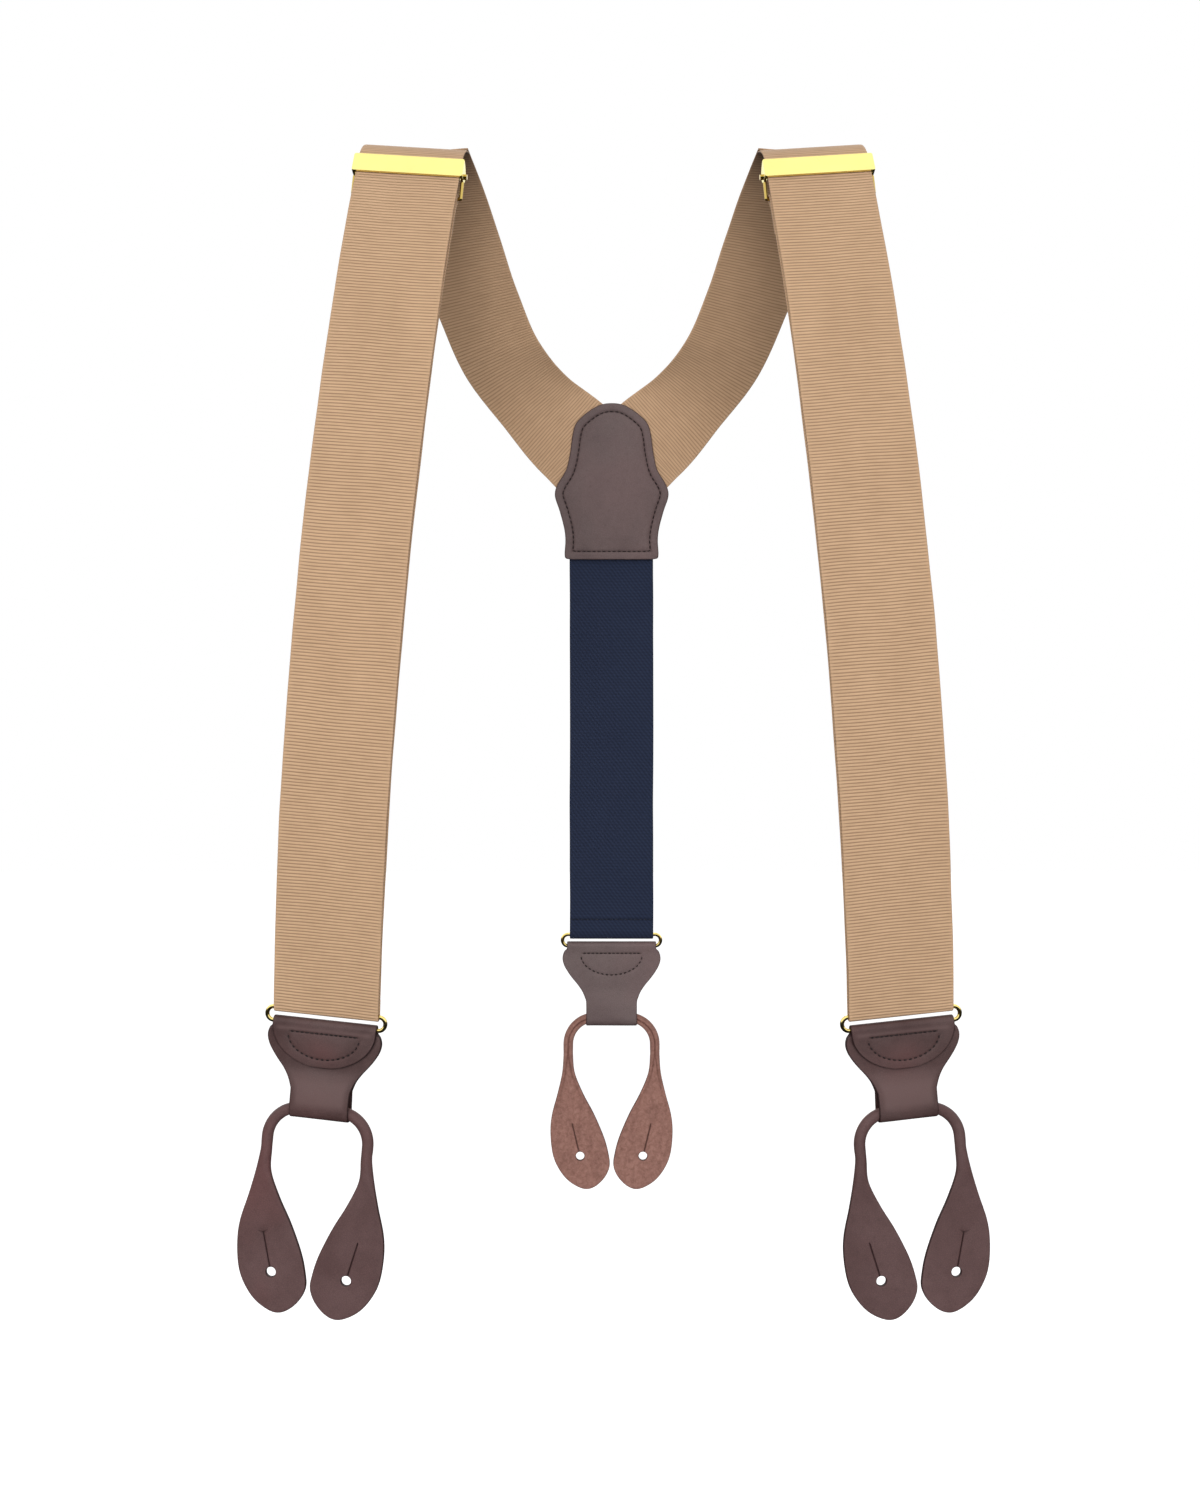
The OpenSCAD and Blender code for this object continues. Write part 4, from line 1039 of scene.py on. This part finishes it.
def patch_mesh(name, sign):
    """sign -1 is the leather towards the wearer, +1 the outside one."""
    rings = [0.05, 0.16, 0.36, 0.7, 1.3, 2.0, 2.6, 2.95, 3.15, 3.4, 3.65, 3.85, 4.2, 4.8, 5.6]
    Q, T, D, _ = plate(patch_curve, [], rings, [], 1.5)
    x, z = Q[:, 0], Q[:, 1]
    near, far = (0.7, 1.8) if sign < 0 else (2.0, 3.1)
    edge_t = np.interp(D, [0, 0.05, 0.16, 0.36, 0.7], [0.50, 0.74, 0.90, 0.97, 1.0])
    mid = (near + far) / 2
    # outside the seam the two leathers draw together, and the field inside it is full
    close = 0.16 * smooth(2.6 - D, 0, 2.6)
    groove = 0.26 * np.exp(-(((D - INSET) / 0.34) ** 2)) + 0.12 * np.exp(-(((D - INSET) / 0.9) ** 2))
    full = 0.50 * smooth(D, 3.6, 9.5) + 0.10 * smooth(D, 8, 16)
    wave_ = 0.05 * np.sin(x / 6 + z / 9 + sign) * np.sin(z / 7 + 0.6) * smooth(D, 4, 8)
    top_y = mid + (far - mid) * edge_t - close - groove + full + wave_
    low_y = mid - (mid - near) * edge_t + 0.0 * D
    n = len(Q)
    V3 = np.concatenate([np.stack([x, sign * top_y, z], -1), np.stack([x, sign * low_y, z], -1)])
    E = rim(T)
    walls = np.stack([E[:, 0], E[:, 1], E[:, 1] + n, E[:, 0] + n], -1)
    F = T.tolist() + (T[:, ::-1] + n).tolist() + walls.tolist()
    idx = np.array([0] * len(T) + [1] * len(T) + [0] * len(walls))
    edge = np.clip(np.clip(1 - D / 0.32, 0, 1) * 0.95 + 0.52 * np.exp(-(((D - INSET) / 0.30) ** 2)) + 0.10 * np.exp(-(((D - INSET) / 1.0) ** 2)), 0, 1)
    back = np.clip(1 - D / 0.2, 0, 1) * 0.9
    o = build(name, patch(V3), F, False, [M_PATCH, M_SUEDE], idx, {"edge": np.concatenate([edge, back])}, sharp=60)
    return o


def inset_line(P, d):
    t = np.roll(P, -1, 0) - np.roll(P, 1, 0)
    t /= np.linalg.norm(t, axis=1, keepdims=True)
    n = np.stack([-t[:, 1], t[:, 0]], -1)
    Q = P + n * d
    if not in_polygon(Q[:1], P)[0]:
        Q = P - n * d
    far = dist_to(Q, np.concatenate([P, P[:1]])) > d * 0.97
    return Q[far]


seam_line = inset_line(patch_curve, INSET)
runs = []
for sign, y in ((-1.0, 1.80 - 0.32), (1.0, 3.10 - 0.32)):
    for a, b in along(seam_line, 2.1, 0.72, closed=True):
        q = patch(np.array([[a[0], sign * y, a[1]], [b[0], sign * y, b[1]], [a[0], sign * (y + 1), a[1]]]))
        runs.append((q[0], q[1], q[2] - q[0]))
o = stitches("patch_threads", runs, 0.26, M_THREAD)
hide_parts("y_patch_stitching")
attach(o, "harness")
for nm, sign in (("patch_leather_inner", -1.0), ("patch_leather_outer", 1.0)):
    o = patch_mesh(nm, sign)
    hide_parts("y_patch_inner" if sign < 0 else "y_patch_outer")
    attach(o, "harness")

# ------------------------------------------------------------------ thread on the webbing
for s, mir in (("left", False), ("right", True)):
    runs = []
    for a in (BAIL_A - 1.0, BAIL_A - 1.55):
        off = RET_IN - 0.9 + (BAIL_A - 0.55 - a) * 0.05
        p0, p1 = arc(off + 0.02, a), arc(off - 0.98, a)
        for i in range(14):
            q = front(np.array([[-17.2 + 2.5 * i, *p0], [-15.4 + 2.5 * i, *p0], [-17.2 + 2.5 * i, *p1]]))
            runs.append((q[0], q[1], q[2] - q[0]))
    o = stitches(f"{s}_return_threads", runs, 0.2, M_THREAD, mir)
    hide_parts(f"{s}_return_stitching")
    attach(o, f"{s}_adjuster")
runs = []
for y, sgn in ((EY - ET / 2 + 0.17, -1.0), (EY + ET * 1.5 + 0.0, 1.0)):
    for i in range(17):
        x0 = -17.0 + 2.03 * i
        runs.append(([x0, y, -291.1], [x0 + 1.45, y, -291.1], [0, sgn, 0]))
o = stitches("back_hem_threads", runs, 0.18, M_NAVY_THREAD)
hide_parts("elastic_hem_stitching")
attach(o, "back_hem")

# ------------------------------------------------------------------ metal and cord keep their own solids
for name, ob in NODES.items():
    if ob.hide_render:
        continue
    if "plate" in name or "lever" in name:
        mat = M_GOLD
    elif "core" in name:
        mat = M_CORD
    elif "bail" in name or "pivot" in name:
        mat = M_BAIL_SHADED
    else:
        mat = M_WIRE
    ob.data.materials.clear()
    ob.data.materials.append(mat)
    ob.data.shade_smooth()
    ob.data.set_sharp_from_angle(angle=rad(32))
    if "plate" in name or "lever" in name:
        bev = ob.modifiers.new("edge", "BEVEL")
        bev.width, bev.segments, bev.limit_method, bev.angle_limit = 0.00012, 2, "ANGLE", rad(40)
        bev.use_clamp_overlap = True

# ------------------------------------------------------------------ stage and light
scene = bpy.context.scene
scene.view_settings.view_transform = "Standard"
scene.view_settings.look = "None"
me = bpy.data.meshes.new("floor")
r = 9.0
me.from_pydata([(-r, -r, -0.95), (r, -r, -0.95), (r, r, -0.95), (-r, r, -0.95)], [], [(0, 1, 2, 3)])
floor = bpy.data.objects.new("floor", me)
scene.collection.objects.link(floor)
m, nt, b = material("floor_white")
b.inputs["Base Color"].default_value = (0.92, 0.92, 0.92, 1)
b.inputs["Roughness"].default_value = 0.9
b.inputs["Emission Color"].default_value = (1, 1, 1, 1)
b.inputs["Emission Strength"].default_value = 0.62
me.materials.append(m)
floor.visible_glossy = False
floor.visible_diffuse = False

world = bpy.data.worlds.new("studio")
scene.world = world
world.use_nodes = True
nt = world.node_tree
nt.nodes.clear()
out = nt.nodes.new("ShaderNodeOutputWorld")
seen = node(nt, "ShaderNodeBackground", Strength=1.0)
seen.inputs["Color"].default_value = (1, 1, 1, 1)
light = node(nt, "ShaderNodeBackground", Strength=0.515)
tc = nt.nodes.new("ShaderNodeTexCoord")
sep = nt.nodes.new("ShaderNodeSeparateXYZ")
nt.links.new(tc.outputs["Generated"], sep.inputs[0])
up = math_node(nt, "ADD", math_node(nt, "MULTIPLY", sep.outputs["Z"], 0.5), 0.5)
sky = ramp(nt, up, [(0.20, (0.55, 0.55, 0.56)), (0.46, (0.75, 0.75, 0.76)), (0.62, (0.95, 0.95, 0.96)), (1.0, (1.0, 1.0, 1.0))])
mirror_sky = ramp(nt, up, [(0.40, (0.01, 0.01, 0.01)), (0.55, (0.05, 0.05, 0.05)), (0.63, (0.95, 0.95, 0.95)), (1.0, (1.0, 1.0, 1.0))])
shine = node(nt, "ShaderNodeBackground", Strength=1.22)
nt.links.new(mirror_sky, shine.inputs["Color"])
nt.links.new(sky, light.inputs["Color"])
lp = nt.nodes.new("ShaderNodeLightPath")
mx = nt.nodes.new("ShaderNodeMixShader")
nt.links.new(lp.outputs["Is Camera Ray"], mx.inputs[0])
gm = nt.nodes.new("ShaderNodeMixShader")
nt.links.new(lp.outputs["Is Glossy Ray"], gm.inputs[0])
nt.links.new(light.outputs[0], gm.inputs[1])
nt.links.new(shine.outputs[0], gm.inputs[2])
nt.links.new(gm.outputs[0], mx.inputs[1])
nt.links.new(seen.outputs[0], mx.inputs[2])
nt.links.new(mx.outputs[0], out.inputs[0])


def area(name, loc, target, size, power, size_y=None):
    d = bpy.data.lights.new(name, "AREA")
    d.shape, d.size, d.size_y, d.energy = "RECTANGLE", size, size_y or size, power
    o = bpy.data.objects.new(name, d)
    o.location = loc
    o.rotation_mode = "QUATERNION"
    o.rotation_quaternion = (Vector(target) - Vector(loc)).to_track_quat("-Z", "Y")
    scene.collection.objects.link(o)
    return o


area("key", (-0.45, -1.9, 0.5), (0, 0, -0.2), 1.3, 14).visible_glossy = False
for soft in (area("front", (0.25, -2.2, -0.35), (0, 0, -0.25), 1.5, 14), area("low", (0.1, -1.5, -1.5), (0, 0, -0.25), 1.2, 7.4)):
    soft.visible_glossy = False
area("back", (0.2, 1.5, 0.8), (0, 0.05, -0.2), 1.2, 8).visible_glossy = False
